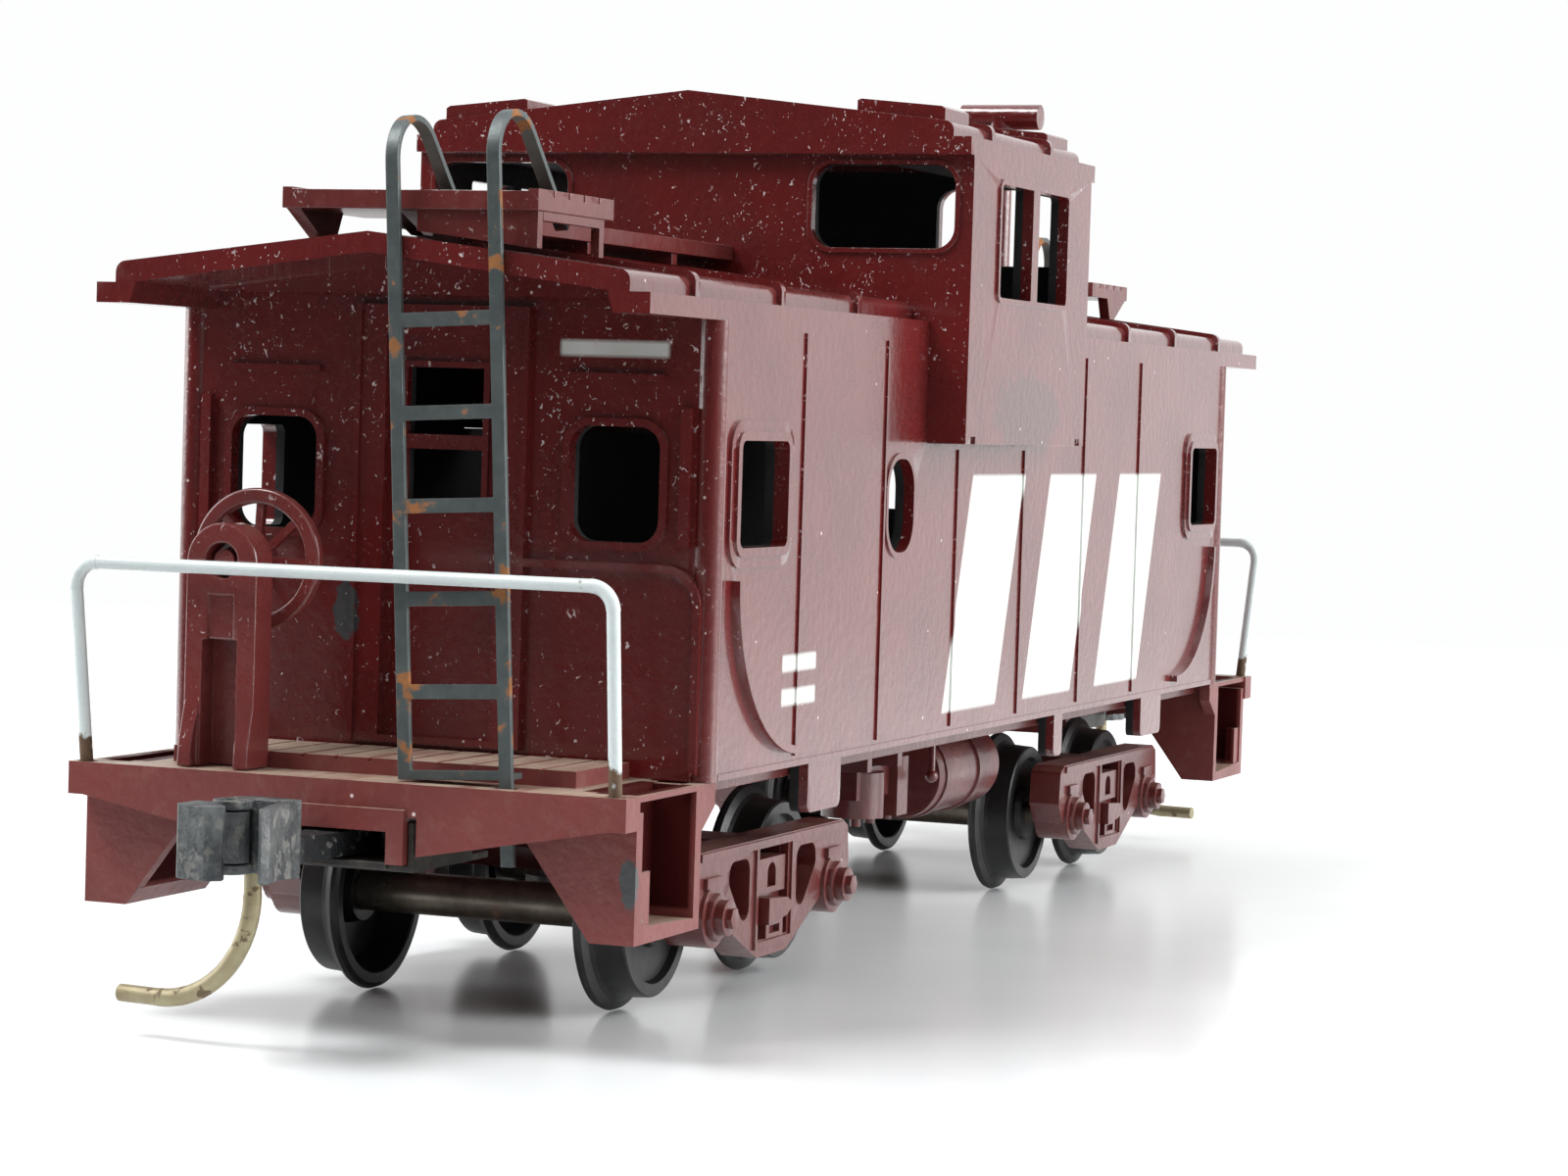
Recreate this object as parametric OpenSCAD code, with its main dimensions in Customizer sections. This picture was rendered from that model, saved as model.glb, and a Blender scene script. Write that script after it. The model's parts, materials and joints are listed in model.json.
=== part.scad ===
// Model caboose with a wide cupola, HO scale. X runs along the car, Z is up,
// and z = 0 is the plane that the wheel flanges stand on.

/* [Body] */
// Length of the body between the outer faces of its end walls
body_len = 103.4; // [102:0.2:104]
// Width of the body across its side walls
body_w = 32.3; // [32:0.1:32.6]
// Height of the lower edge of the side walls
body_low = 13.9; // [13.9:0.1:14.1]
// Height of the eaves, where the side walls end
side_top = 39.6; // [39:0.1:40.2]
// Thickness of the moulded walls and roof
wall_t = 1.1; // [0.9:0.05:1.2]

/* [Roof] */
// Length of the main roof, over both end platforms
roof_len = 122.6; // [122:0.2:124.4]
// Thickness of the eave rail
eave_t = 1.1; // [1:0.05:1.3]
// Height of the raised roof panel's edge above the eave rail
panel_step = 1.15; // [0.9:0.05:1.3]
// Rise of the main roof from the panel's edge to the ridge
ridge_rise = 1.75; // [1.4:0.05:2]
// Height of the roof walk's upper face at the cupola
walk_top = 44; // [43.9:0.05:44.2]

/* [Cupola] */
// End of the cupola nearer to the -X end
cupola_x0 = -18.1; // [-18.6:0.1:-17.6]
// End of the cupola nearer to the +X end
cupola_x1 = 6.35; // [6:0.05:6.8]
// Width of the cupola across its bays
cupola_w = 37.34; // [37:0.02:37.8]
// Height of the underside of the bays
bay_low = 32.2; // [31.8:0.1:32.6]
// Height of the cupola's eaves
cupola_top = 50.8; // [50.4:0.1:51.2]

/* [End platforms] */
// Distance from the car's centre to the front face of the end beam
beam_front = 62.8; // [62.4:0.1:63.2]
// Height of the end beam's upper face
deck_top = 13.92; // [13.9:0.02:14]
// Height of the steps' lower edge
step_low = 6.2; // [6:0.05:6.6]
// Diameter of the handrail wire
rail_d = 0.75; // [0.6:0.05:0.9]
// Lean of the ladders from upright, in degrees
ladder_lean = 3; // [0:0.5:3.5]

/* [Trucks] */
// Distance from the car's centre to each truck's pivot
truck_x = 34; // [33.6:0.1:34.4]
// Distance between the two axles of a truck
wheelbase = 18.96; // [18.6:0.06:19.2]
// Radius of the wheel treads
tread_r = 4.85; // [4.8:0.05:4.9]
// Radius of the wheel flanges
flange_r = 5.65; // [5.6:0.05:5.7]
// Distance from the car's centre line to the back of a wheel
wheel_back = 7.2; // [7.15:0.05:7.25]

/* [Couplers] */
// Height of the middle of the coupler's head
coupler_z = 11.25; // [11:0.05:11.4]
// Rest angle of the couplers, off the car's centre line
coupler_rest = 8; // [0:1:9]

/* [Hidden] */
$fn = 48;

// Clearances: between pieces that sit against each other, and of turning fits
seat_gap = 0.04;
fit_gap = 0.05;
eps = 0.1;

// Body and roof
body_hw = body_w / 2;
body_x = body_len / 2;
panel_inset = 1.15;
panel_round = 0.6;
eave_rail_w = 2;
ridge_top = side_top + panel_step + ridge_rise;
roof_rib_x = [28.2, 40.5, 53];
rib_pitch = 13.5;
cupola_hw = cupola_w / 2;
cupola_mid = (cupola_x0 + cupola_x1) / 2;
cupola_len = cupola_x1 - cupola_x0;
cupola_overhang = 0.69;
cupola_panel_step = 0.95;
cupola_ridge_rise = 1.85;

// Windows: width, height, corner radius and height of the centre
end_win = [5.3, 6.2, 1.2];
end_win_y = 10.3;
end_win_z = 29.6;
side_win = [7, 5.8, 0.5];
side_win_x = 45.45;
side_win_z = 29.25;
slot_win = [4.5, 5.6, 1.9];
slot_win_x = 22.6;
slot_win_z = 28.4;
cupola_end_win = [9.3, 5.1, 1.3];
cupola_end_win_y = 12.9;
cupola_end_win_z = 46.55;
cupola_side_win = [13.8, 7, 0.35];
cupola_side_win_z = 44.8;
mullion_w = 1.3;
lip_w = 0.45;
lip_t = 0.25;

// Door in each end wall
door_hw = 3.4;
door_low = 15;
door_top = 37.3;
surround_hw = 5.05;
surround_t = 0.35;
pane_hw = 2.3;
upper_pane = [31.95, 35.6];
lower_pane = [28.2, 31.15];

// Moulded grab irons
grab_w = 0.45;
grab_t = 0.5;
side_grab_r = 9.7;
side_grab_z = 24.6;
end_grab_r = 2;
end_grab_z = 25.2;
end_grab_y = 15.4;

// End platforms
beam_hw = 16.29;
beam_t = 1.8;
beam_low = deck_top - 1.75;
web_low = 10.15;
web_t = 0.8;
plank_hw = 11.9;
plank_top = 14.8;
step_hw = 16.16;
step_front = 61.05;
step_back = 52.4;
step_in = 13.65;
deck_hw = 13;
sill_t = 0.35;
plate_t = 0.8;
tread_t = 1;
box_hw = 3.9;
box_low = 9.7;
box_face_top = 12.57;
cavity_top = 11.4;
cover_low = 9.3;
cover_top = 9.78;
box_back = 53;
mouth_hw = 2.9;
pivot_x = 57.5;
post_r = 0.9;

// Ladder: strap section, path of its hook and where it stands
strap_w = 0.74;
strap_t = 0.35;
ladder_x = 61.55;
ladder_y = -6.1;
rail_gap = 5.8;
hook_r = 2.4;
hook_z = 46.3;
hook_turn = 140;
hook_end_z = 43;
foot_gap = 0.25;
tail_z = 9.7;
rung_z0 = 18.75;
rung_pitch = 4.82;
rung_count = 5;

// Roof walk platform, with its own centre line off the car's
walk_hw = 3.1;
walk_t = 0.9;
plat_y0 = -9.4;
plat_y1 = 5.5;
plat_x0 = 60.5;
plat_x1 = 50.9;
plat_top = 44.7;
plat_t = 1;

// Handrail
handrail_x = 62.2;
handrail_y = 15.45;
handrail_top = 24.6;
handrail_out = 1.1;
handrail_in = 0.5;
handrail_bend = 1.3;
post_depth = 0.9;
socket_gap = 0.16;

// Brake stand and wheel
stand_y = 8.1;
stand_hw = 2.1;
stand_z = 24.95;
stand_x0 = 61.4;
stand_x1 = 59.5;
brake_shaft_r = 0.6;
brake_wheel_r = 3.85;
brake_rim = 0.85;
brake_wheel_x = 57.4;
shaft_len = 3.7;
spoke_count = 8;

// Trucks
axle_z = flange_r;
axle_r = 1.2;
hub_back = wheel_back + 1;
stub_r = 0.75;
journal_end = 11.8;
frame_y0 = 11;
frame_y1 = 13.2;
frame_top = 9.35;
frame_low = 2.5;
bolster_end_low = 6.05;
kingpin_r = 1.4;
kingpin_low = 5.1;
pad_low = 12.35;

// Colours
maroon = [0.36, 0.10, 0.10];
wheel_black = [0.10, 0.10, 0.11];
steel = [0.45, 0.43, 0.41];
strap_grey = [0.40, 0.47, 0.49];
rail_white = [0.92, 0.94, 0.93];
zinc = [0.47, 0.50, 0.52];
brass = [0.66, 0.56, 0.30];

// --- helpers ---

// Copies of a -X end piece: the far end is the same piece turned half round
module far_end() { rotate([0, 0, 180]) children(); }

// Extrudes a Y-Z outline along X, centred on x
module along_x(x, len) {
    translate([x, 0, 0]) rotate([90, 0, 90]) linear_extrude(len, center = true) children();
}

// Extrudes an X-Z outline along Y, centred on y
module along_y(y, len) {
    translate([0, y, 0]) rotate([90, 0, 0]) linear_extrude(len, center = true) children();
}

// Block from its two opposite corners
module block(a, b) {
    translate([min(a.x, b.x), min(a.y, b.y), min(a.z, b.z)])
        cube([abs(b.x - a.x), abs(b.y - a.y), abs(b.z - a.z)]);
}

// Rectangle with round corners, centred
module round_rect(size, r) {
    square([size.x - 2 * r, size.y], center = true);
    square([size.x, size.y - 2 * r], center = true);
    for (sx = [-1, 1], sy = [-1, 1]) translate([sx * (size.x / 2 - r), sy * (size.y / 2 - r)]) circle(r);
}

// Pad that stands w wider than a window, win = [width, height, corner radius], before the window is cut
module window_pad(win, w = lip_w) { round_rect([win[0] + 2 * w, win[1] + 2 * w], win[2] + w); }

function mirrored(p) = [for (i = [len(p) - 1 : -1 : 0]) [-p[i].x, p[i].y]];
function arc(c, r, a0, a1, n) = [for (i = [0 : n]) let (a = a0 + (a1 - a0) * i / n) c + r * [cos(a), sin(a)]];
function unit(v) = v / norm(v);

// Half of a roof's outer outline, from the eave's lower edge to the ridge
function roof_half(hw, z, step, rise) = concat(
    [[hw, z - eave_t], [hw, z], [hw - panel_inset, z]],
    arc([hw - panel_inset - panel_round, z + step - panel_round], panel_round, 0, 84, 5),
    [[0, z + step + rise]]);

// Half of the roof's inner outline, under the shell
function soffit_half(hw, z, step, rise) = [[hw - eave_rail_w, z - eave_t - eps],
    [hw - eave_rail_w - 0.4, z + step - wall_t], [0, z + step + rise - wall_t]];

module roof_section(hw, z, step, rise) {
    difference() {
        polygon(concat(roof_half(hw, z, step, rise), mirrored(roof_half(hw, z, step, rise))));
        polygon(concat(soffit_half(hw, z, step, rise), mirrored(soffit_half(hw, z, step, rise))));
    }
}

// Rib across a roof, standing proud of the shell
module roof_rib(x, hw, z, step, rise) {
    proud = 0.28;
    top = [for (p = roof_half(hw, z, step, rise)) if (p.y > z) p];
    along_x(x, 0.6) polygon(concat([[hw - panel_inset + proud, z - eps]],
        [for (p = top) [p.x + proud * (p.x > 0 ? 1 : 0), p.y + proud]],
        mirrored([for (p = top) [p.x + proud * (p.x > 0 ? 1 : 0), p.y + proud]]),
        [[-hw + panel_inset - proud, z - eps]]));
}

// Signed turn at corner i of a path, and the length that its bend takes from each side
function turn_at(p, i) = let (a = unit(p[i] - p[i - 1]), b = unit(p[i + 1] - p[i]))
    atan2(a.x * b.y - a.y * b.x, a.x * b.x + a.y * b.y);
function trim_at(p, i, r) = (i == 0 || i == len(p) - 1) ? 0 : r * tan(abs(turn_at(p, i)) / 2);

// Round wire bent in the X-Y plane along a path of corners
module bent_wire(p, bend_r, wire_r) {
    // the straight lengths are a hair thinner and run this far into the bends
    lap = 0.12;
    straight_r = wire_r - 0.02;
    for (i = [0 : len(p) - 2]) {
        d = unit(p[i + 1] - p[i]);
        a = p[i] + d * trim_at(p, i, bend_r);
        b = p[i + 1] - d * trim_at(p, i + 1, bend_r);
        translate([a.x, a.y, 0]) rotate([0, 0, atan2(d.y, d.x)]) rotate([0, 90, 0])
            translate([0, 0, i == 0 ? 0 : -lap])
                cylinder(h = norm(b - a) + (i == 0 ? 0 : lap) + (i == len(p) - 2 ? 0 : lap),
                    r = straight_r, $fn = 24);
    }
    if (len(p) > 2) for (i = [1 : len(p) - 2]) {
        turn = turn_at(p, i);
        d = unit(p[i] - p[i - 1]);
        start = p[i] - d * trim_at(p, i, bend_r);
        centre = start + sign(turn) * bend_r * [-d.y, d.x];
        translate([centre.x, centre.y, 0])
            rotate([0, 0, atan2(start.y - centre.y, start.x - centre.x) + min(turn, 0)])
                rotate_extrude(angle = abs(turn)) translate([bend_r, 0]) circle(wire_r, $fn = 24);
    }
}

// --- body ---

// A window through an end wall, seen along X
module end_window_hole(y, z, win) {
    translate([0, y, z]) rotate([90, 0, 90]) linear_extrude(2 * wall_t + 2, center = true)
        round_rect([win[0], win[1]], win[2]);
}

// A window through a side wall, seen along Y
module side_window_hole(x, z, win, depth = 4) {
    translate([x, 0, z]) rotate([90, 0, 0]) linear_extrude(depth, center = true)
        round_rect([win[0], win[1]], win[2]);
}

// Mouldings on the end wall at -X
module end_mouldings() {
    for (sy = [-1, 1]) {
        translate([-body_x - lip_t, sy * end_win_y, end_win_z]) rotate([90, 0, 90])
            linear_extrude(lip_t + eps) window_pad(end_win);
        // rain ledge over each window
        block([-body_x - 0.35, sy * (end_win_y - 2.8), 35.2], [-body_x + eps, sy * (end_win_y + 2.8), 35.55]);
        // short vertical grab beside each window
        block([-body_x - grab_t, sy * 14.5 - 0.3, 26.4], [-body_x + eps, sy * 14.5 + 0.3, 33.8]);
        // round bead down each corner
        translate([-body_x + 0.55, sy * (body_hw - 0.55), body_low])
            cylinder(h = side_top - eave_t - body_low, r = 0.8);
    }
    // raised surround of the door
    block([-body_x - surround_t, -surround_hw, door_low], [-body_x + eps, surround_hw, side_top - 0.6]);
    for (sy = [-1, 1])
        block([-body_x - surround_t - 0.15, sy * surround_hw - 0.15, door_low],
            [-body_x + eps, sy * surround_hw + 0.15, side_top - 0.6]);
    // grab iron that turns down beside the door
    block([-body_x - grab_t, -surround_hw, end_grab_z - grab_w / 2],
        [-body_x + eps, -end_grab_y + end_grab_r, end_grab_z + grab_w / 2]);
    block([-body_x - grab_t, -end_grab_y - grab_w / 2, body_low + 0.4],
        [-body_x + eps, -end_grab_y + grab_w / 2, end_grab_z - end_grab_r]);
    translate([-body_x - grab_t, -end_grab_y + end_grab_r, end_grab_z - end_grab_r])
        rotate([90, 0, 90]) rotate([0, 0, 90]) rotate_extrude(angle = 90)
            translate([end_grab_r - grab_w / 2, 0]) square([grab_w, grab_t + eps]);
}

// Recess and panes of the door in the -X end wall
module door_cut() {
    block([-body_x - 1, -door_hw, door_low + 0.4], [-body_x + 0.35, door_hw, door_top]);
    for (pane = [upper_pane, lower_pane])
        block([-body_x - 1, -pane_hw, pane[0]], [-body_x + 2 * wall_t, pane_hw, pane[1]]);
}

// Rim round the door's panes, kept inside its recess
module door_rim() {
    rim = 0.35;
    difference() {
        block([-body_x + 0.1, -pane_hw - rim, lower_pane[0] - rim],
            [-body_x + 0.5, pane_hw + rim, upper_pane[1] + rim]);
        for (pane = [upper_pane, lower_pane])
            block([-body_x - 1, -pane_hw, pane[0]], [-body_x + 2, pane_hw, pane[1]]);
    }
}

// Mouldings on the -Y side, with dir = -1 where the car is turned half round
module side_mouldings(dir) {
    for (k = [-3 : 2]) {
        x = 1.5 + rib_pitch * k;
        under_bay = x * dir > cupola_x0 - 1 && x * dir < cupola_x1 + 1;
        block([x - 0.14, -body_hw - 0.12, body_low + 0.6],
            [x + 0.14, -body_hw + eps, under_bay ? bay_low - 0.4 : side_top - eave_t - 0.3]);
    }
    for (sx = [-1, 1]) {
        // two stepped rims round the window by each end
        translate([sx * side_win_x, -body_hw + eps, side_win_z]) rotate([90, 0, 0]) {
            linear_extrude(0.35 + eps) window_pad(side_win, 0.5);
            linear_extrude(0.18 + eps) window_pad(side_win, 1.1);
        }
        // curved grab iron above the steps
        mirror([sx > 0 ? 1 : 0, 0, 0])
            translate([-body_x + 2.8 + side_grab_r, -body_hw + eps, side_grab_z]) rotate([90, 0, 0])
                rotate([0, 0, 180]) rotate_extrude(angle = 90)
                    translate([side_grab_r - grab_w / 2, 0]) square([grab_w, grab_t + eps]);
        // skirt over each truck
        skirt(sx * truck_x, 2.65);
    }
    skirt(11.1, 0.95);
    // bead along the lower edge
    block([-body_x + 1.2, -body_hw - 0.1, body_low], [body_x - 1.2, -body_hw + eps, body_low + 0.35]);
    translate([-slot_win_x, -body_hw + eps, slot_win_z]) rotate([90, 0, 0])
        linear_extrude(0.12 + eps) window_pad(slot_win, 0.35);
}

// Tab that hangs from the lower edge of the -Y side wall, with round lower corners
module skirt(x, hw) {
    drop = 2.85;
    rise = 1.5;
    translate([x, -body_hw + wall_t, body_low + (rise - drop) / 2]) rotate([90, 0, 0])
        linear_extrude(wall_t) round_rect([2 * hw, rise + drop], 0.55);
}

// Wall with a gable top that reaches up into the roof shell
module gable_wall() {
    polygon([[body_hw, body_low], [body_hw, side_top - 0.5], [body_hw - 2.5, side_top + 0.4],
        [0, ridge_top - wall_t / 2], [-body_hw + 2.5, side_top + 0.4], [-body_hw, side_top - 0.5],
        [-body_hw, body_low]]);
}

module body_shell() color(maroon) {
    difference() {
        union() {
            for (sx = [-1, 1]) along_x(sx * (body_x - wall_t / 2), wall_t) gable_wall();
            for (sy = [-1, 1])
                block([-body_x, sy * (body_hw - wall_t), body_low], [body_x, sy * body_hw, side_top - 0.2]);
            along_x(0, roof_len) roof_section(body_hw, side_top, panel_step, ridge_rise);
            for (sx = [-1, 1], x = roof_rib_x) roof_rib(sx * x, body_hw, side_top, panel_step, ridge_rise);
            end_mouldings();
            far_end() end_mouldings();
            side_mouldings(1);
            far_end() side_mouldings(-1);
        }
        door_cut();
        far_end() door_cut();
        for (sx = [-1, 1], sy = [-1, 1]) {
            translate([sx * body_x, 0, 0]) end_window_hole(sy * end_win_y, end_win_z, end_win);
            translate([0, sy * body_hw, 0]) side_window_hole(sx * side_win_x, side_win_z, side_win);
        }
        translate([-slot_win_x, -body_hw, slot_win_z]) rotate([90, 0, 0])
            linear_extrude(4, center = true) round_rect([slot_win[0], slot_win[1]], slot_win[2]);
        translate([slot_win_x, body_hw, slot_win_z]) rotate([90, 0, 0])
            linear_extrude(4, center = true) round_rect([slot_win[0], slot_win[1]], slot_win[2]);
        // notch that the cupola drops into
        block([cupola_x0 - seat_gap, -20, bay_low - seat_gap], [cupola_x1 + seat_gap, 20, 50]);
        // hole for the smokejack's root
        translate([jack_x, jack_y, 35]) cylinder(h = 10, r = jack_r + 0.02);
    }
    door_rim();
    far_end() door_rim();
}

// --- cupola ---

module cupola_shell() color(maroon) difference() {
    union() {
        block([cupola_x0, -cupola_hw, bay_low], [cupola_x1, cupola_hw, cupola_top - 0.2]);
        along_x(cupola_mid, cupola_len + 2 * cupola_overhang)
            polygon(concat(roof_half(cupola_hw, cupola_top, cupola_panel_step, cupola_ridge_rise),
                mirrored(roof_half(cupola_hw, cupola_top, cupola_panel_step, cupola_ridge_rise))));
        for (s = [-1, 1])
            roof_rib(cupola_mid + s * 6.05, cupola_hw, cupola_top, cupola_panel_step, cupola_ridge_rise);
        for (sx = [-1, 1], sy = [-1, 1]) cupola_hatch(cupola_mid + sx * 10.3, sy);
        for (sy = [-1, 1]) translate([cupola_mid, sy * cupola_hw, cupola_side_win_z]) rotate([90, 0, 0])
            linear_extrude(0.3, center = true) window_pad(cupola_side_win, 0.35);
        for (sx = [-1, 1], sy = [-1, 1])
            translate([cupola_mid + sx * cupola_len / 2, sy * cupola_end_win_y, cupola_end_win_z])
                rotate([90, 0, 90]) linear_extrude(0.3, center = true) window_pad(cupola_end_win, 0.3);
    }
    // hollow: the upper room, and the two bays down to their floors
    block([cupola_x0 + wall_t, -cupola_hw + wall_t, bay_low + wall_t],
        [cupola_x1 - wall_t, cupola_hw - wall_t, cupola_top - eave_t]);
    block([cupola_x0 + wall_t, -body_hw + wall_t, bay_low - 1],
        [cupola_x1 - wall_t, body_hw - wall_t, bay_low + 2]);
    along_x(cupola_mid, cupola_len - 2 * wall_t)
        polygon([[14, cupola_top - 2], [0, cupola_top + 1.3], [-14, cupola_top - 2]]);
    // windows in the two end walls and, with a mullion each, in the two sides
    for (sx = [-1, 1], sy = [-1, 1]) translate([cupola_mid + sx * cupola_len / 2, 0, 0])
        end_window_hole(sy * cupola_end_win_y, cupola_end_win_z, cupola_end_win);
    for (sy = [-1, 1]) translate([0, sy * cupola_hw, 0]) difference() {
        side_window_hole(cupola_mid, cupola_side_win_z, cupola_side_win);
        block([cupola_mid - mullion_w / 2, -3, cupola_side_win_z - 5],
            [cupola_mid + mullion_w / 2, 3, cupola_side_win_z + 5]);
    }
    // notches for the locating pegs along each bay's lower edge
    for (sy = [-1, 1], x = [cupola_x0 + 1.4, cupola_x1 - 1.4])
        block([x - 0.45, sy * cupola_hw - 0.5, bay_low - eps],
            [x + 0.45, sy * cupola_hw + 0.5, bay_low + 0.45]);
}

// Raised pad near a corner of the cupola's roof, sy = the side it is on
module cupola_hatch(x, sy) {
    half = 2.25;
    z_in = cupola_top + cupola_panel_step + 1.25;
    z_out = cupola_top + cupola_panel_step + 0.75;
    along_x(x, 2 * half) polygon([[sy * 11.1, cupola_top], [sy * 16.8, cupola_top], [sy * 16.8, z_out],
        [sy * 16.55, z_out + 0.15], [sy * 11.35, z_in + 0.1], [sy * 11.1, z_in]]);
}

// --- smokejack ---

jack_x = 8.9;
jack_y = -11.4;
jack_r = 0.85;
jack_z = 54.2;

module smokejack() color(maroon) {
    translate([jack_x, jack_y, side_top - 0.5]) cylinder(h = jack_z - side_top + 0.5, r = jack_r);
    translate([jack_x, jack_y, jack_z]) rotate([90, 0, 0]) cylinder(h = 5.5, r = jack_r, center = true);
    // flashing where the pipe meets the roof
    translate([jack_x, jack_y, ridge_top - 1.15]) cylinder(h = 0.5, r = jack_r + 0.45);
}

// --- roof walk at the -X end ---

// Height of the roof's surface at a distance y from the centre line
function roof_z(y) = ridge_top - ridge_rise * abs(y) / (body_hw - panel_inset);

// Triangular bracket under the platform, standing on the roof
module walk_bracket(y) {
    foot_z = roof_z(abs(y) - 0.4) + seat_gap;
    head_z = plat_top - plat_t + eps;
    along_y(y, 0.8) polygon([[-plat_x0 + 0.3, head_z], [-plat_x0 + 5.5, head_z],
        [-plat_x0 + 4.6, foot_z], [-plat_x0 + 3.6, foot_z]]);
}

module roof_walk() color(maroon) {
    plat_low = plat_top - plat_t;
    difference() {
        union() {
            block([-plat_x0, plat_y0, plat_low], [-plat_x1, plat_y1, plat_top]);
            // cleats across the planks
            for (y = [plat_y0 + 0.3, plat_y1 - 0.3])
                block([-plat_x0, y - 0.3, plat_top - eps], [-plat_x1, y + 0.3, plat_top + 0.12]);
        }
        // slots for the ladder's hooks
        for (s = [-1, 1]) {
            slot_z = plat_top - plat_t / 2;
            y = ladder_y + (slot_z - deck_top) * sin(ladder_lean) + s * rail_gap / 2;
            block([-56.4, y - 0.75, plat_low - 1], [-53.2, y + 0.75, plat_top + 1]);
        }
        // gaps between the planks
        for (k = [1 : 4])
            block([-plat_x0 + 1.92 * k - 0.09, plat_y0 - 1, plat_top - 0.25],
                [-plat_x0 + 1.92 * k + 0.09, plat_y1 + 1, plat_top + 1]);
    }
    // apron that follows the roof's slope, and the post at the open side
    along_x(-plat_x0 + 0.6, 0.6) polygon([[plat_y0 + 0.15, plat_low + eps], [-2.3, plat_low + eps],
        [-2.3, roof_z(2.3) + 0.35], [plat_y0 + 0.15, roof_z(plat_y0) + 0.35]]);
    block([-52.5, plat_y0 + 0.1, roof_z(plat_y0 + 0.6) + seat_gap], [-51.9, plat_y0 + 0.6, plat_low + eps]);
    block([-plat_x0 + 0.9, plat_y0 + 0.1, plat_low - 0.5], [-51.9, plat_y0 + 0.5, plat_low + eps]);
    walk_bracket(plat_y1 - 0.4);
    walk_bracket(-0.7);
    // step down from the platform to the running board
    block([-plat_x1 - 1, -walk_hw, walk_top - walk_t], [-plat_x1 + 0.5, walk_hw, plat_low + eps]);
    running_board();
}

// Running board from the -X platform to the cupola, end_x sets where it stops
module running_board(end_x = cupola_x0 - 0.1) {
    difference() {
        block([-plat_x1 - 1, -walk_hw, walk_top - walk_t], [end_x, walk_hw, walk_top]);
        for (s = [-1, 1])
            block([-plat_x1 + 0.5, s * 1.05 - 0.09, walk_top - 0.25],
                [end_x + 1, s * 1.05 + 0.09, walk_top + 1]);
    }
    // saddles that sit on the roof
    for (x = [-48, -roof_rib_x[1] + 1.2, -roof_rib_x[0] + 1.2]) walk_saddle(x);
}

module walk_saddle(x) {
    head_z = walk_top - walk_t + eps;
    foot_z = roof_z(walk_hw) + seat_gap;
    along_x(x, 0.8) polygon([[-walk_hw + 0.2, head_z], [-walk_hw + 0.2, foot_z], [0, ridge_top + seat_gap],
        [walk_hw - 0.2, foot_z], [walk_hw - 0.2, head_z]]);
}

module roof_walk_near() roof_walk();

// The far running board is longer by the cupola's offset, so it is drawn whole
module roof_walk_far() color(maroon) {
    far_end() {
        roof_walk();
        block([cupola_x0 - 0.2, -walk_hw, walk_top - walk_t], [-cupola_x1 - 0.1, walk_hw, walk_top]);
        walk_saddle(-12.3);
    }
}

// --- frame ---

floor_x = body_x - wall_t - 0.1;
floor_hw = body_hw - wall_t - 0.1;
floor_low = 13.1;
floor_top = 14.6;

module underframe() color(maroon * 0.7) difference() {
    union() {
        block([-floor_x, -floor_hw, floor_low], [floor_x, floor_hw, floor_top]);
        block([-49, -2.8, 11.6], [49, 2.8, floor_low + eps]);
        block([-15, -2.2, 9.9], [15, 2.2, 11.7]);
        for (x = [-19, -13.5, 19]) block([x - 0.4, -13.5, 11.9], [x + 0.4, 13.5, floor_low + eps]);
        for (s = [-1, 1]) {
            block([s * truck_x - 3.2, -6, pad_low], [s * truck_x + 3.2, 6, floor_low + eps]);
        }
    }
    for (s = [-1, 1]) {
        // clears the sill round each pivot, so the bolster meets only the pad
        block([s * truck_x - 4.4, -7, 11], [s * truck_x + 4.4, 7, pad_low]);
        translate([s * truck_x, 0, 10]) cylinder(h = 6, r = kingpin_r + 0.02);
    }
}

module ballast_weight() color(steel) difference() {
    block([-46, -13.4, floor_top + seat_gap], [46, 13.4, 16.3]);
    for (s = [-1, 1]) translate([s * truck_x, 0, 14]) cylinder(h = 4, r = 2.4);
}

module truck_screws() color(steel) for (s = [-1, 1]) translate([s * truck_x, 0, 0]) difference() {
    union() {
        translate([0, 0, kingpin_low]) cylinder(h = 1.1, r = 2.3);
        translate([0, 0, kingpin_low + 1]) cylinder(h = floor_top - kingpin_low - 1, r = kingpin_r);
    }
    translate([-3, -0.25, kingpin_low - eps]) cube([6, 0.5, 0.6]);
}

// --- end platform at -X ---

// Outline of a step well's end plate, in Y-Z, on the -Y side
module step_plate() {
    polygon([[-step_hw, deck_top - 0.9], [-step_hw, step_low], [-13.65, step_low], [-9.4, 11.9],
        [-9.4, deck_top - 0.9]]);
}

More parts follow.
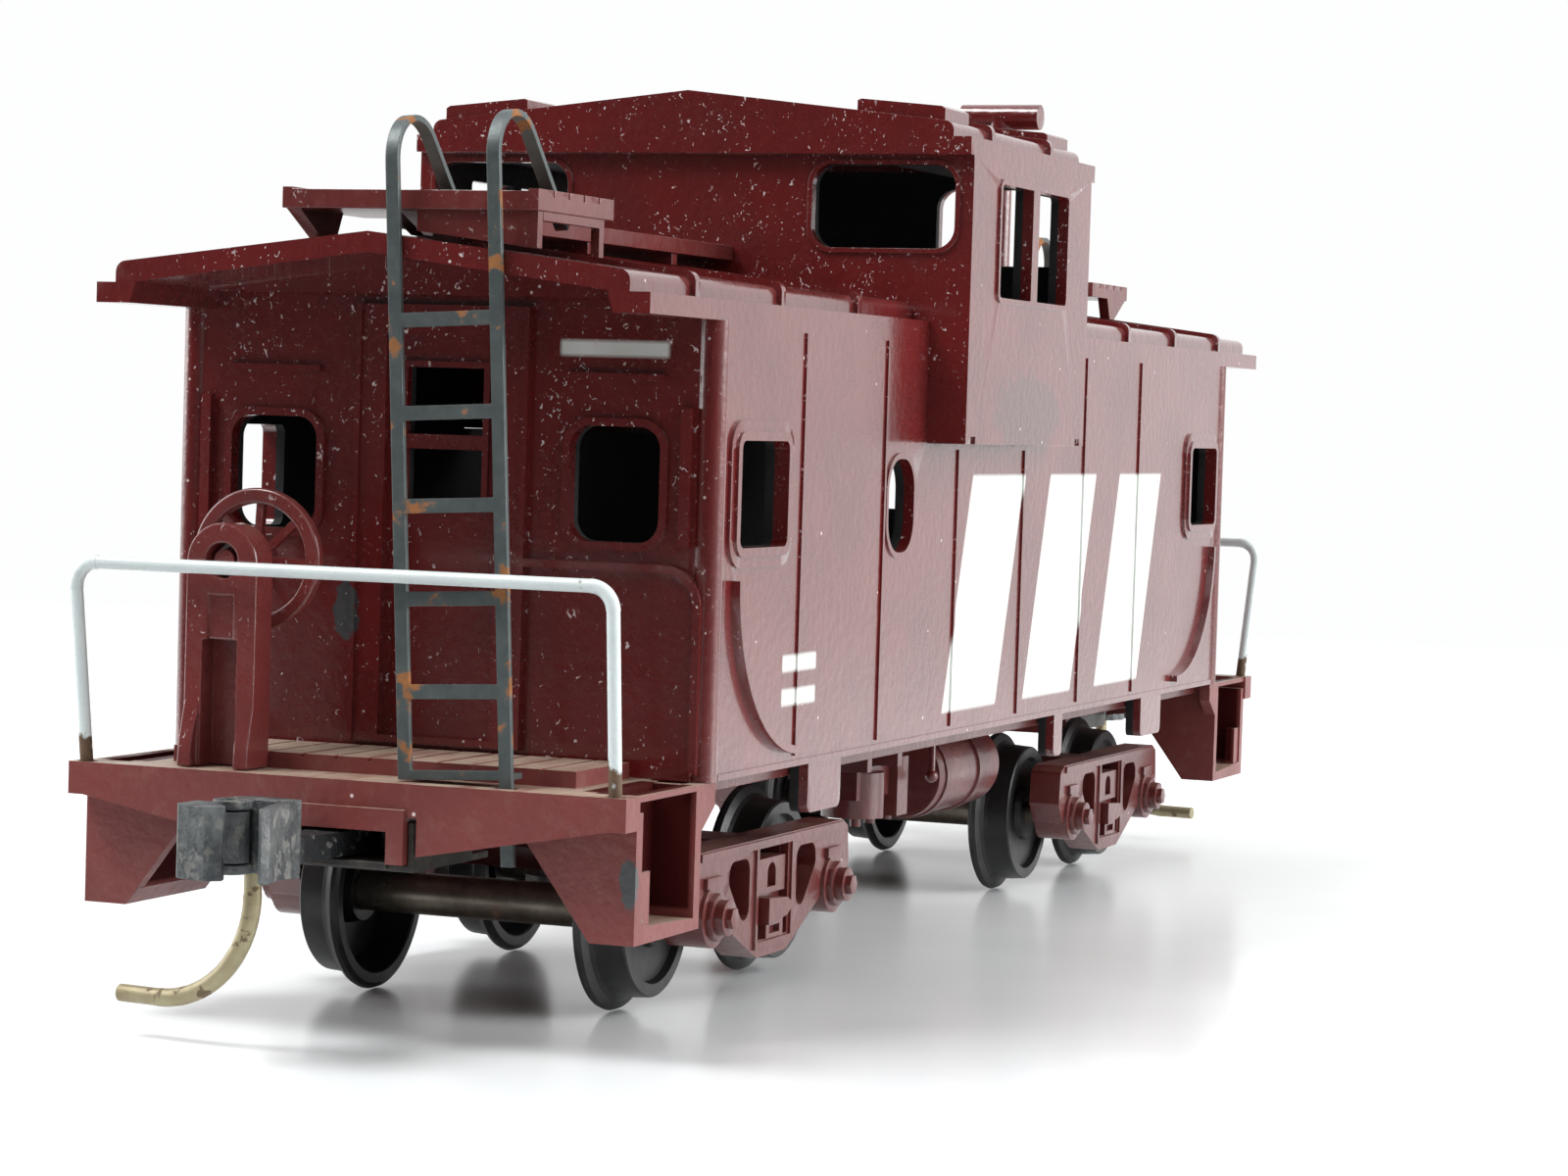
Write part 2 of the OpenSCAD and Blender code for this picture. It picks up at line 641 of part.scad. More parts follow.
// The step well on the -Y side: front plate, rear plate, tread, inner wall and the thin sill above
module step_well() {
    for (x = [step_front - plate_t / 2, step_back + plate_t / 2]) along_x(-x, plate_t) step_plate();
    // tread, which thins out toward the rear plate
    along_y(-(step_hw + step_in) / 2, step_hw - step_in)
        polygon([[-step_front + eps, step_low], [-step_back - eps, step_low],
            [-step_back - eps, step_low + 0.6], [-step_front + eps, step_low + tread_t]]);
    // inner wall, cut off at the plates' slope
    along_x(-(step_front + step_back) / 2, step_front - step_back - 0.2) polygon([[-step_in, step_low],
        [-step_in, deck_top], [-deck_hw + 0.05, deck_top], [-deck_hw + 0.05, step_low + 0.9]]);
    // thicker lower part of the front plate, by the tread's outer edge
    block([-step_front + plate_t - eps, -step_hw + 0.1, step_low + eps],
        [-step_front + plate_t + 1.3, -step_hw + 0.8, step_low + 3.7]);
    // gusset behind the rear plate
    along_y(-step_hw + 0.4, 0.8) polygon([[-step_back - 0.1, deck_top - 0.1], [-body_x + 1.1, deck_top - 0.1],
        [-body_x + 1.1, 12.6], [-step_back - 0.1, 11.3]]);
    // sill that joins the beam to the body's corner
    block([-beam_front + beam_t - eps, -step_hw, deck_top - sill_t],
        [-body_x + 1.2, -step_hw + 0.9, deck_top - seat_gap]);
}

module end_platform() color(maroon) {
    difference() {
        union() {
            // end beam, deeper toward the coupler box
            block([-beam_front, -beam_hw, beam_low], [-beam_front + beam_t, beam_hw, deck_top]);
            for (s = [-1, 1]) along_x(-beam_front + web_t / 2, web_t)
                polygon([[s * (beam_hw - 0.9), beam_low], [s * (box_hw + 0.6), web_low],
                    [s * (box_hw + 0.6), beam_low + eps], [s * (beam_hw - 0.9), beam_low + eps]]);
            // deck and its raised planks
            block([-beam_front + beam_t - eps, -deck_hw, deck_top - 1], [-body_x - 0.1, deck_hw, deck_top]);
            difference() {
                block([-59.3, -plank_hw, deck_top - eps], [-body_x - surround_t - 0.35, plank_hw, plank_top]);
                for (k = [1 : 11])
                    block([-60, -plank_hw + 2 * k - 0.12, plank_top - 0.2],
                        [-body_x, -plank_hw + 2 * k + 0.08, plank_top + 1]);
            }
            step_well();
            mirror([0, 1, 0]) step_well();
            // coupler box under the deck, and the tongue that the floor sits on
            block([-beam_front - 0.3, -box_hw, box_low], [-beam_front + eps, box_hw, box_face_top]);
            block([-beam_front, -box_hw, box_low], [-box_back, box_hw, deck_top - 0.9]);
            block([-box_back - 1, -8, floor_low - 0.9], [-floor_x + 1.3, 8, floor_low - seat_gap]);
        }
        // the box's cavity, open at its mouth and below
        block([-beam_front - 1, -mouth_hw, box_low - eps], [-box_back - 1, mouth_hw, cavity_top]);
        // slot for the tail of the ladder's right-hand rail
        block([-ladder_x - 0.4, ladder_y - rail_gap / 2 - 0.63, beam_low - 1],
            [-ladder_x + 0.4, ladder_y - rail_gap / 2 + 0.57, deck_top + 1]);
        // sockets for the handrail's posts
        for (s = [-1, 1]) translate([-handrail_x, s * handrail_y, deck_top - post_depth - 0.05])
            cylinder(h = 2, r = rail_d / 2 + socket_gap);
    }
    // pivot post for the coupler
    translate([-pivot_x, 0, cover_top + seat_gap])
        cylinder(h = cavity_top + eps - cover_top - seat_gap, r = post_r);
}

// Sheet-metal cover that closes the coupler box from below
module coupler_cover() color(zinc * 0.6) {
    // plate between the box's walls
    block([-beam_front - 0.1, -mouth_hw + seat_gap, cover_low + 0.12],
        [-box_back - 1 - seat_gap, mouth_hw - seat_gap, cover_top]);
    // strap under the walls, bent up at both sides
    block([-beam_front + 0.2, -box_hw - 0.4, cover_low], [-box_back - 0.6, box_hw + 0.4, box_low - seat_gap]);
    for (s = [-1, 1])
        block([-beam_front + 0.2, s * (box_hw + seat_gap), cover_low],
            [-box_back - 2.6, s * (box_hw + 0.4), beam_low - 0.27]);
}

// --- ladder at -X ---

// Path of the strap's middle line in X-Z, and its side outline
leg_angle = 180 - hook_turn;
hook_centre = [-ladder_x + hook_r, hook_z];
leg_len = (hook_centre.y + hook_r * sin(leg_angle) - hook_end_z) / cos(leg_angle);

function strap_side(r, off) = concat([[-ladder_x - off, deck_top + foot_gap]],
    arc(hook_centre, r, 180, leg_angle, 20),
    [hook_centre + r * [cos(leg_angle), sin(leg_angle)] + leg_len * [sin(leg_angle), -cos(leg_angle)]]);

module strap(y) {
    out = strap_side(hook_r + strap_t / 2, strap_t / 2);
    in = strap_side(hook_r - strap_t / 2, -strap_t / 2);
    along_y(y, strap_w) polygon(concat(out, [for (i = [len(in) - 1 : -1 : 0]) in[i]]));
}

module ladder() color(strap_grey)
    translate([0, ladder_y, deck_top]) rotate([-ladder_lean, 0, 0]) translate([0, 0, -deck_top]) {
        for (s = [-1, 1]) strap(s * rail_gap / 2);
        for (k = [0 : rung_count - 1])
            block([-ladder_x - strap_t / 2, -rail_gap / 2, rung_z0 + k * rung_pitch - 0.38],
                [-ladder_x + strap_t / 2, rail_gap / 2, rung_z0 + k * rung_pitch + 0.38]);
        // foot bar and the tab behind it
        block([-ladder_x - strap_t / 2, -rail_gap / 2, deck_top + foot_gap],
            [-ladder_x + strap_t / 2, rail_gap / 2, deck_top + 0.75]);
        block([-ladder_x - strap_t / 2, -rail_gap / 2 - 0.2, deck_top + foot_gap],
            [-ladder_x + 1.55, rail_gap / 2, deck_top + foot_gap + 0.3]);
        // tail of the right-hand rail, through the end beam
        block([-ladder_x - strap_t / 2, -rail_gap / 2 - strap_w / 2, tail_z],
            [-ladder_x + strap_t / 2, -rail_gap / 2 + strap_w / 2, deck_top + 0.75]);
    }

// --- handrail at -X ---

module handrail() color(rail_white) translate([-handrail_x, 0, 0]) rotate([90, 0, 90])
    bent_wire([[-handrail_y, deck_top - post_depth], [-handrail_y + handrail_in, handrail_top],
        [handrail_y + handrail_out, handrail_top], [handrail_y, deck_top - post_depth]],
        handrail_bend, rail_d / 2);

// --- brake stand and wheel at -X ---

// Upright with a round head, in Y-Z
module stand_outline(hw) {
    translate([stand_y - hw, deck_top + seat_gap]) square([2 * hw, stand_z - 0.1 - deck_top - seat_gap]);
    translate([stand_y, stand_z - 0.1]) circle(hw);
}

module brake_stand() color(maroon) difference() {
    union() {
        along_x(-(stand_x0 + stand_x1) / 2, stand_x0 - stand_x1) stand_outline(stand_hw);
        // flared foot of each flange
        for (s = [-1, 1]) along_y(stand_y + s * (stand_hw - 0.42), 0.84)
            polygon([[-stand_x0 + eps, deck_top + seat_gap], [-stand_x0 - 0.6, deck_top + seat_gap],
                [-stand_x0 - 0.5, deck_top + 1.3], [-stand_x0 + eps, deck_top + 3.7]]);
    }
    // channel between the two flanges, and the shallow panel above it
    block([-stand_x0 - 1, stand_y - 1.05, deck_top - 1], [-stand_x1 - 0.6, stand_y + 1.05, stand_z - 4.2]);
    block([-stand_x0 - 1, stand_y - 0.75, stand_z - 4.3], [-stand_x0 + 0.2, stand_y + 0.75, stand_z - 1.8]);
    // eye that the shaft's end shows in, and the shaft's bearing
    translate([-stand_x0 - 1, stand_y, stand_z]) rotate([0, 90, 0]) {
        cylinder(h = 2.2, r = 0.95);
        cylinder(h = 5, r = brake_shaft_r + fit_gap);
    }
}

module brake_wheel() color(maroon) translate([-brake_wheel_x, stand_y, stand_z]) rotate([0, 90, 0]) {
    rotate_extrude() translate([brake_wheel_r - brake_rim, -0.35]) round_corner_bar(brake_rim, 0.7, 0.2);
    cylinder(h = 1.1, r = 0.95, center = true);
    translate([0, 0, -shaft_len]) cylinder(h = shaft_len, r = brake_shaft_r);
    for (k = [0 : spoke_count - 1]) rotate([0, 0, 3 + k * 360 / spoke_count])
        translate([0.5, -0.22, -0.2]) cube([brake_wheel_r - brake_rim - 0.35, 0.44, 0.4]);
}

// Rectangle with round corners, from its lower left corner
module round_corner_bar(w, h, r) { translate([w / 2, h / 2]) round_rect([w, h], r); }

// --- coupler at -X, drawn about its pivot and turned to its rest angle ---

knuckle_px = -68.9 + pivot_x;
knuckle_py = 1.55;
pin_r = 0.4;
shank_low = -1.35;
shank_t = 1.3;

module at_coupler() {
    translate([-pivot_x, 0, coupler_z]) rotate([0, 0, -coupler_rest]) children();
}

module coupler() color(zinc) at_coupler() difference() {
    union() {
        // pivot ring and shank, set lower than the head's middle
        translate([0, 0, shank_low]) cylinder(h = shank_t, r = 2);
        block([-9.6, -1, shank_low], [0, 1, shank_low + shank_t]);
        // head behind the knuckle, with its fixed guard arm
        translate([0, 0, -1.9]) linear_extrude(3.8)
            polygon([[-9, -1.1], [-9, 1.4], [-9.9, 2.3], [-10.6, 2.3], [-10.7, -0.9], [-12.7, -1.65],
                [-14.2, -2.3], [-14.45, -2.65], [-14, -2.85], [-12.4, -2.25], [-9.9, -1.65]]);
        block([-10.7, -1.75, -2], [-9.9, -1, 2]);
        // lugs above and below the knuckle
        for (z = [-1.9, 1.4]) translate([knuckle_px, knuckle_py, z]) cylinder(h = 0.5, r = 0.95);
        for (z = [-1.9, 1.4]) block([knuckle_px, knuckle_py - 0.95, z], [-10.2, 2.3, z + 0.5]);
    }
    translate([0, 0, -3]) cylinder(h = 5, r = post_r + fit_gap);
    // room for the knuckle's root
    translate([knuckle_px, knuckle_py, -1.4]) cylinder(h = 2.8, r = 1.1);
    translate([knuckle_px, knuckle_py, -3]) cylinder(h = 6, r = pin_r + 0.02);
}

module knuckle() color(zinc) at_coupler() difference() {
    union() {
        translate([knuckle_px, knuckle_py, -1.3]) cylinder(h = 2.6, r = 0.95);
        // arm that reaches forward and hooks in towards the guard arm
        translate([knuckle_px, knuckle_py, -1.3]) linear_extrude(2.6)
            polygon([[-0.2, 0.95], [-3.2, 0.95], [-3.7, 0.5], [-3.9, -1.3], [-3.2, -1.9], [-2.6, -1.6],
                [-2.5, 0.1], [0, -0.75]]);
        translate([knuckle_px, knuckle_py, -1.87]) linear_extrude(3.74)
            polygon([[-1.4, 1.02], [-3.2, 0.95], [-3.7, 0.5], [-3.9, -1.3], [-3.2, -1.9], [-2.6, -1.6],
                [-2.5, 0.1], [-1.4, -0.3]]);
    }
    translate([knuckle_px, knuckle_py, -3]) cylinder(h = 6, r = pin_r + fit_gap);
}

module knuckle_pin() color(zinc) at_coupler()
    translate([knuckle_px, knuckle_py, -1.95]) cylinder(h = 3.9, r = pin_r, $fn = 32);

// Wire under the head that curves down and out to one side
module trip_pin() color(brass) at_coupler() translate([-9.75, 1.3, 0]) rotate([90, 0, 90])
    bent_wire([[0, -1.95], [0, -9], [8.4, -9]], 5.9, 0.48);

// --- trucks ---

module round_poly(pts, r) { offset(r = r, $fn = 24) offset(delta = -r) polygon(pts); }

// Outline of a sideframe in X-Z, about the truck's centre
module sideframe_outline() {
    half = [[0, frame_low], [2.3, frame_low], [7.7, 5.0], [11.4, 5.2], [12.5, 6.6], [12.25, 8.9],
        [11.3, frame_top], [0, frame_top]];
    difference() {
        round_poly(concat(half, mirrored([for (i = [1 : len(half) - 2]) half[i]])), 0.35);
        for (s = [-1, 1])
            round_poly([[s * 3.7, 8.4], [s * 6.7, 8.4], [s * 6.9, 7.2], [s * 4.8, 4.9], [s * 3.7, 4.7]],
                0.75);
    }
}

// Sideframe on the -Y side of a truck, about the truck's centre
module sideframe_piece() {
    difference() {
        union() {
            translate([0, -frame_y0, 0]) rotate([90, 0, 0])
                linear_extrude(frame_y1 - frame_y0) sideframe_outline();
            // journal boxes, each with a round cover and its hexagonal lid
            for (s = [-1, 1]) translate([s * wheelbase / 2, 0, axle_z]) {
                rotate([90, 0, 0]) cylinder(h = frame_y1 + 0.25, r = 1.75);
                rotate([90, 0, 0]) cylinder(h = frame_y1 + 0.6, r = 1.35, $fn = 8);
                rotate([90, 0, 0]) cylinder(h = frame_y1 + 1.15, r1 = 1.2, r2 = 1);
                rotate([90, 0, 0]) cylinder(h = frame_y1 + 1.5, r = 0.62, $fn = 6);
                block([-1.1, -frame_y1 + eps, 1.6], [1.1, -frame_y1 - 0.25, 2.2]);
            }
            // lip along the upper chord and rims of the openings
            block([-11.2, -frame_y1 + eps, frame_top - 0.55], [11.2, -frame_y1 - 0.15, frame_top - 0.1]);
            for (s = [-1, 1]) block([s * 2.6, -frame_y1 + eps, 3.4], [s * 2.95, -frame_y1 - 0.15, 8.8]);
            block([-2.9, -frame_y1 + eps, 3], [2.9, -frame_y1 - 0.15, 3.4]);
        }
        // clears the inside behind the frame, where the journal boxes start
        block([-13, 0, 0], [13, -frame_y0, 12]);
        // opening for the bolster's end, and the pocket under it
        block([-2.2, -frame_y1 - 1, bolster_end_low - 0.1], [2.2, -frame_y0 + 1, 8.75]);
        block([-2.3, -frame_y1 - 1, 3.5], [2.3, -frame_y1 + 0.5, 8.75]);
        for (s = [-1, 1]) translate([s * wheelbase / 2, -frame_y0 + eps, axle_z]) rotate([90, 0, 0])
            cylinder(h = journal_end + 0.1 - frame_y0 + eps, r = stub_r + fit_gap);
    }
    // wedge that stands out under the bolster's end, and the square boss below it
    along_y(-frame_y1 + 0.05, 1.3)
        polygon([[-2, bolster_end_low - 0.1], [0.9, 5.75], [1.9, 5.25], [0.8, 4.7], [-2, 4.4]]);
    difference() {
        block([-1.3, -frame_y1 + 0.6, 3.5], [1.3, -frame_y1 - 0.15, 4.45]);
        block([-0.8, -frame_y1 - 1, 3.75], [0.8, -frame_y1 + 0.2, 4.2]);
    }
}

module sideframe(s, side) color(maroon)
    translate([s * truck_x, 0, 0]) rotate([0, 0, side > 0 ? 180 : 0]) sideframe_piece();

module truck_bolster(s) color(maroon) translate([s * truck_x, 0, 0]) difference() {
    union() {
        block([-2.1, -frame_y0 + seat_gap, 6.6], [2.1, frame_y0 - seat_gap, 9.1]);
        // ends that sit in the sideframes' openings
        for (sy = [-1, 1])
            block([-2.1, sy * (frame_y0 - 0.2), bolster_end_low], [2.1, sy * (frame_y1 - 0.1), 8.1]);
        translate([0, 0, 8.9]) cylinder(h = pad_low - 0.15 - 8.9, r = 3);
        // brake beams' hangers and the cross member
        for (sx = [-1, 1]) block([sx * 2, -6.4, 7.2], [sx * 3.4, 6.4, 8]);
    }
    translate([0, 0, 5]) cylinder(h = 9, r = kingpin_r + fit_gap);
    // arched slot in the face of each end
    for (sy = [-1, 1]) along_y(sy * (frame_y1 - 0.1), 2) {
        translate([-0.65, bolster_end_low + 0.35]) square([1.3, 0.75]);
        translate([0, bolster_end_low + 1.1]) circle(0.65);
    }
}

// Axle k, counted from the -X end, 1 to 4
function axle_x(k) = (k < 3 ? -1 : 1) * truck_x + (k % 2 == 1 ? -1 : 1) * wheelbase / 2;

module axle(k) color(steel) translate([axle_x(k), 0, axle_z]) rotate([90, 0, 0]) {
    cylinder(h = 2 * hub_back, r = axle_r, center = true);
    cylinder(h = 2 * journal_end, r = stub_r, center = true);
}

// Wheel on the +Y side, about the axle's axis: y is the distance from the car's centre line
module wheel_profile() {
    face = wheel_back + 2.8;
    hollow = wheel_back + 2;
    polygon([[stub_r, hub_back + seat_gap], [1.8, hub_back + seat_gap], [2, hollow], [4.2, hollow],
        [4.65, wheel_back + 0.1], [4.75, wheel_back], [flange_r - 0.35, wheel_back],
        [flange_r - 0.08, wheel_back + 0.15], [flange_r, wheel_back + 0.38],
        [flange_r - 0.1, wheel_back + 0.62], [tread_r + 0.25, wheel_back + 0.85],
        [tread_r + 0.06, wheel_back + 1.05],
        [tread_r, wheel_back + 1.3], [tread_r - 0.1, face - 0.1], [tread_r - 0.2, face], [4, face],
        [3.85, face - 0.4], [2, face - 0.4], [1.85, face], [stub_r, face]]);
}

module wheel(k, sy) color(wheel_black) translate([axle_x(k), 0, axle_z])
    rotate([sy > 0 ? -90 : 90, 0, 0]) rotate_extrude($fn = 96) wheel_profile();

// --- underbody gear ---

module air_tank() color(maroon) {
    tank_r = 2.85;
    tank_len = 12.6;
    crown = 2.2;
    translate([1.2, -8.3, 9.95]) rotate([0, 90, 0]) {
        cylinder(h = tank_len, r = tank_r);
        translate([0, 0, tank_len]) rotate_extrude() intersection() {
            square([tank_r, tank_r]);
            translate([0, -crown]) circle(sqrt(tank_r * tank_r + crown * crown));
        }
        // bands round the shell
        for (x = [1.2, 8]) translate([0, 0, x]) cylinder(h = 0.9, r = tank_r + 0.15);
    }
    // straps that hang the tank from the floor
    for (x = [3.7, 11.7]) block([x - 0.4, -8.8, 12], [x + 0.4, -7.8, floor_low - seat_gap]);
}

module brake_valve() color(maroon) {
    block([-12.2, -10.2, 9.4], [-5, -7.8, 11.4]);
    // round chamber under the body
    translate([-9.9, -9.1, 8.2]) cylinder(h = 2.9, r = 2);
    // upright flange with its bolts
    translate([-5.05, -9.4, 8.4]) cylinder(h = floor_low - seat_gap - 8.4, r = 1.2);
    block([-6.2, -10.8, 8], [-4.2, -8, 11.8]);
    for (x = [-11.2, -8.6, -5.4]) translate([x, -9.8, 7.7]) cylinder(h = 1.2, r = 0.35);
    block([-10.4, -9.8, 11.3], [-8.4, -8.2, floor_low - seat_gap]);
}

module brake_cylinder() color(maroon) {
    translate([-12, 9, 9.95]) rotate([0, 90, 0]) {
        cylinder(h = 8, r = 2.3);
        cylinder(h = 0.8, r = 2.8);
        translate([0, 0, 7.9]) cylinder(h = 0.7, r = 1.5);
        translate([0, 0, 8.5]) cylinder(h = 7, r = 0.45);
    }
    for (x = [-9.5, -6]) block([x - 0.4, 8.5, 12], [x + 0.4, 9.5, floor_low - seat_gap]);
}

module brake_pipes() color(maroon) {
    // pipe between the valve and the tank
    translate([-3.8, -8.8, 11.8]) rotate([0, 90, 0]) cylinder(h = 5 - seat_gap, r = 0.35);
    // release rod with a ball on its end
    translate([-2.7, -11.9, 10.4]) {
        cylinder(h = floor_low - seat_gap - 10.4, r = 0.22, $fn = 24);
        sphere(r = 0.42);
    }
    // pipe along the sill
    translate([-18.3, 4.6, 11.3]) rotate([0, 90, 0]) cylinder(h = 36.6, r = 0.35);
    for (x = [-17, 17]) block([x - 0.3, 4.3, 11.4], [x + 0.3, 4.9, floor_low - seat_gap]);
}

body_shell();
cupola_shell();
smokejack();
roof_walk_near();
roof_walk_far();
underframe();
ballast_weight();
end_platform();  // end_platform_near
far_end() end_platform();  // end_platform_far
truck_screws();
ladder();  // ladder_near
far_end() ladder();  // ladder_far
handrail();  // handrail_near
far_end() handrail();  // handrail_far
brake_stand();  // brake_stand_near
far_end() brake_stand();  // brake_stand_far
brake_wheel();  // brake_wheel_near
far_end() brake_wheel();  // brake_wheel_far
coupler_cover();  // coupler_cover_near
far_end() coupler_cover();  // coupler_cover_far
coupler();  // coupler_near
far_end() coupler();  // coupler_far
knuckle();  // knuckle_near
far_end() knuckle();  // knuckle_far
knuckle_pin();  // knuckle_pin_near
far_end() knuckle_pin();  // knuckle_pin_far
trip_pin();  // trip_pin_near
far_end() trip_pin();  // trip_pin_far
truck_bolster(-1);  // truck_bolster_near
truck_bolster(1);  // truck_bolster_far
sideframe(-1, -1);  // sideframe_near_right
sideframe(-1, 1);  // sideframe_near_left
sideframe(1, -1);  // sideframe_far_right
sideframe(1, 1);  // sideframe_far_left
axle(1);  // axle_1
axle(2);  // axle_2
axle(3);  // axle_3
axle(4);  // axle_4
wheel(1, -1);  // wheel_1_right
wheel(1, 1);  // wheel_1_left
wheel(2, -1);  // wheel_2_right
wheel(2, 1);  // wheel_2_left
wheel(3, -1);  // wheel_3_right
wheel(3, 1);  // wheel_3_left
wheel(4, -1);  // wheel_4_right
wheel(4, 1);  // wheel_4_left
air_tank();
brake_valve();
brake_cylinder();
brake_pipes();
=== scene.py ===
import json
import math

import bmesh
import bpy
from mathutils import Matrix, Vector


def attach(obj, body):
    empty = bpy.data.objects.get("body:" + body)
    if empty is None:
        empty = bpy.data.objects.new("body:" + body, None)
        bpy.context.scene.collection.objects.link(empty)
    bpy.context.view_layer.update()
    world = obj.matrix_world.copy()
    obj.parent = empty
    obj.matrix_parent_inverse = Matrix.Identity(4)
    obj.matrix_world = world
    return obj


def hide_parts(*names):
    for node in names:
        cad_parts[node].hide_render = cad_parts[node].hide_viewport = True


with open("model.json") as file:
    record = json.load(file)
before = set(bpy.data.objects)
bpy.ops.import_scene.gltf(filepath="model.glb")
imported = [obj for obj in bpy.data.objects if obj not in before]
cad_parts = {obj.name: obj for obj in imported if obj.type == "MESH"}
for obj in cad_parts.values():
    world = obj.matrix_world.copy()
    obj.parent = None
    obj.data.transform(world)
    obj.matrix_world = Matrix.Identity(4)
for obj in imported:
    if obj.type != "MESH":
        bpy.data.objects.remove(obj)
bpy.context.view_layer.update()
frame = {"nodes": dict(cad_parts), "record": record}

MM = 0.001
NODES = frame["nodes"]
BODY_OF = {n: b for b, ns in frame["record"]["behaviour"]["bodies"].items() for n in ns}
ENDS = ("near", "far")
SIDES = ("right", "left")
AXLES = (1, 2, 3, 4)


# --- colours, in linear red, green and blue ---

MAROON, MAROON_ALT = (0.125, 0.0100, 0.0100), (0.098, 0.0078, 0.0080)
PLASTIC, PLASTIC_ALT = (0.180, 0.038, 0.034), (0.146, 0.030, 0.027)
WHITE_MARK, WHITE_MARK_ALT = (0.74, 0.77, 0.74), (0.62, 0.64, 0.60)
PLANK_GRAIN = (0.33, 0.245, 0.185)
SMALL_CHIP = (0.16, 0.15, 0.15)
GREY_CHIP = (0.055, 0.058, 0.060)
DUST = (0.33, 0.25, 0.19)
# pale specks: partly dust, partly painted sparkle highlights
SPECK_AND_SPARKLE = (0.62, 0.52, 0.50)
# painted highlight: the colour of the glints
PAINTED_GLINT = (0.72, 0.62, 0.62)
# painted shade for the insides of the rooms
ROOM_SHADE = (0.010, 0.010, 0.011)
# painted shade inside the step wells
WELL_SHADE = (0.045, 0.0065, 0.006)
# painted shade on the coupler's shank inside its box
SHANK_SHADE = (0.022, 0.024, 0.026)
BACKDROP = (0.985, 0.99, 0.99, 1)


# --- places on the car, in millimetres ---

# plain white marks that stand in for all lettering: slanted bars and a pair of short stripes on
# each side, and one stripe over the right-hand window of each end wall
MARKS = {
    "side_face": 16.02, "slant": 0.32,
    "bar_centres": (-13.2, 3.2, 19.6), "bar_half": 5.3, "bar_height": (15.4, 30.2),
    "stripe_along": (-41.2, -36.0), "stripe_heights": ((17.4, 18.3), (19.3, 20.2)),
    "end_face": 51.6, "end_stripe_across": (6.9, 13.2), "end_stripe_height": (36.45, 37.25),
}
# half the width of the soft edge of the marks, and of the step wells' painted shade
SOFT_EDGE = 0.12

# rooms behind the windows, painted black inside as painted shade: half length, half width, middle
# along the car, and top
BODY_ROOM = (51.1, 15.6, 0, 39.4)
CUPOLA_ROOM = (11.7, 18.1, -5.875, 50.2)

# the step wells, painted dark inside as painted shade: nearest and farthest |x|, nearest and
# farthest |y|, and the lower edge
STEP_WELLS = (53.05, 60.4, 12.8, 15.9, 7.3)

# webs that join the rear plate of each step well to the deck: |x|, |y| and z of the middle, then
# the size
WEB_MIDDLE, WEB_SIZE = (52.8, 14.57, 13.4), (0.76, 3.16, 0.9)

# large worn places: centre, half size and colour
BODY_BLOTCHES = [((-51.75, 5.6, 22.1), (3, 0.85, 1.5), GREY_CHIP),
                 ((51.75, -8.2, 19.4), (3, 0.6, 1.0), GREY_CHIP)]
DECK_BLOTCHES = [((-61.0, -15.8, 9.4), (0.5, 0.5, 1.3), GREY_CHIP),
                 ((61.0, 15.8, 7.4), (0.5, 0.5, 0.9), GREY_CHIP)]
GEAR_BLOTCHES = [((-40.5, -13.4, 2.8), (1.1, 0.5, 0.7), GREY_CHIP),
                 ((30.2, 13.4, 3.1), (1.0, 0.5, 0.6), GREY_CHIP)]
CUPOLA_SMEARS = [((-6.0, -18.7, 34.0), (6.6, 0.6, 2.5), (0.070, 0.010, 0.010)),
                 ((-2, 18.7, 33.4), (4.2, 0.6, 1.4), (0.075, 0.011, 0.011))]

# bare metal shows on the handrails up to this height, where they stand in the deck
WIRE_FOOT = 15.3
# the coupler's shank lies in its box closer to the car's middle than this, and is painted dark
# there as painted shade
SHANK_WITHIN = 66.6
# painted glint highlights are fewest below the first of these heights, and most frequent above the
# second
GLINT_HEIGHTS = (24, 31)


# --- finishes ---

PAINT_IOR, COAT_ROUGHNESS = 1.5, 0.12
# the shader's specular level, and how little of it is left in the step wells
SPECULAR, WELL_SPECULAR = 0.5, 0.08


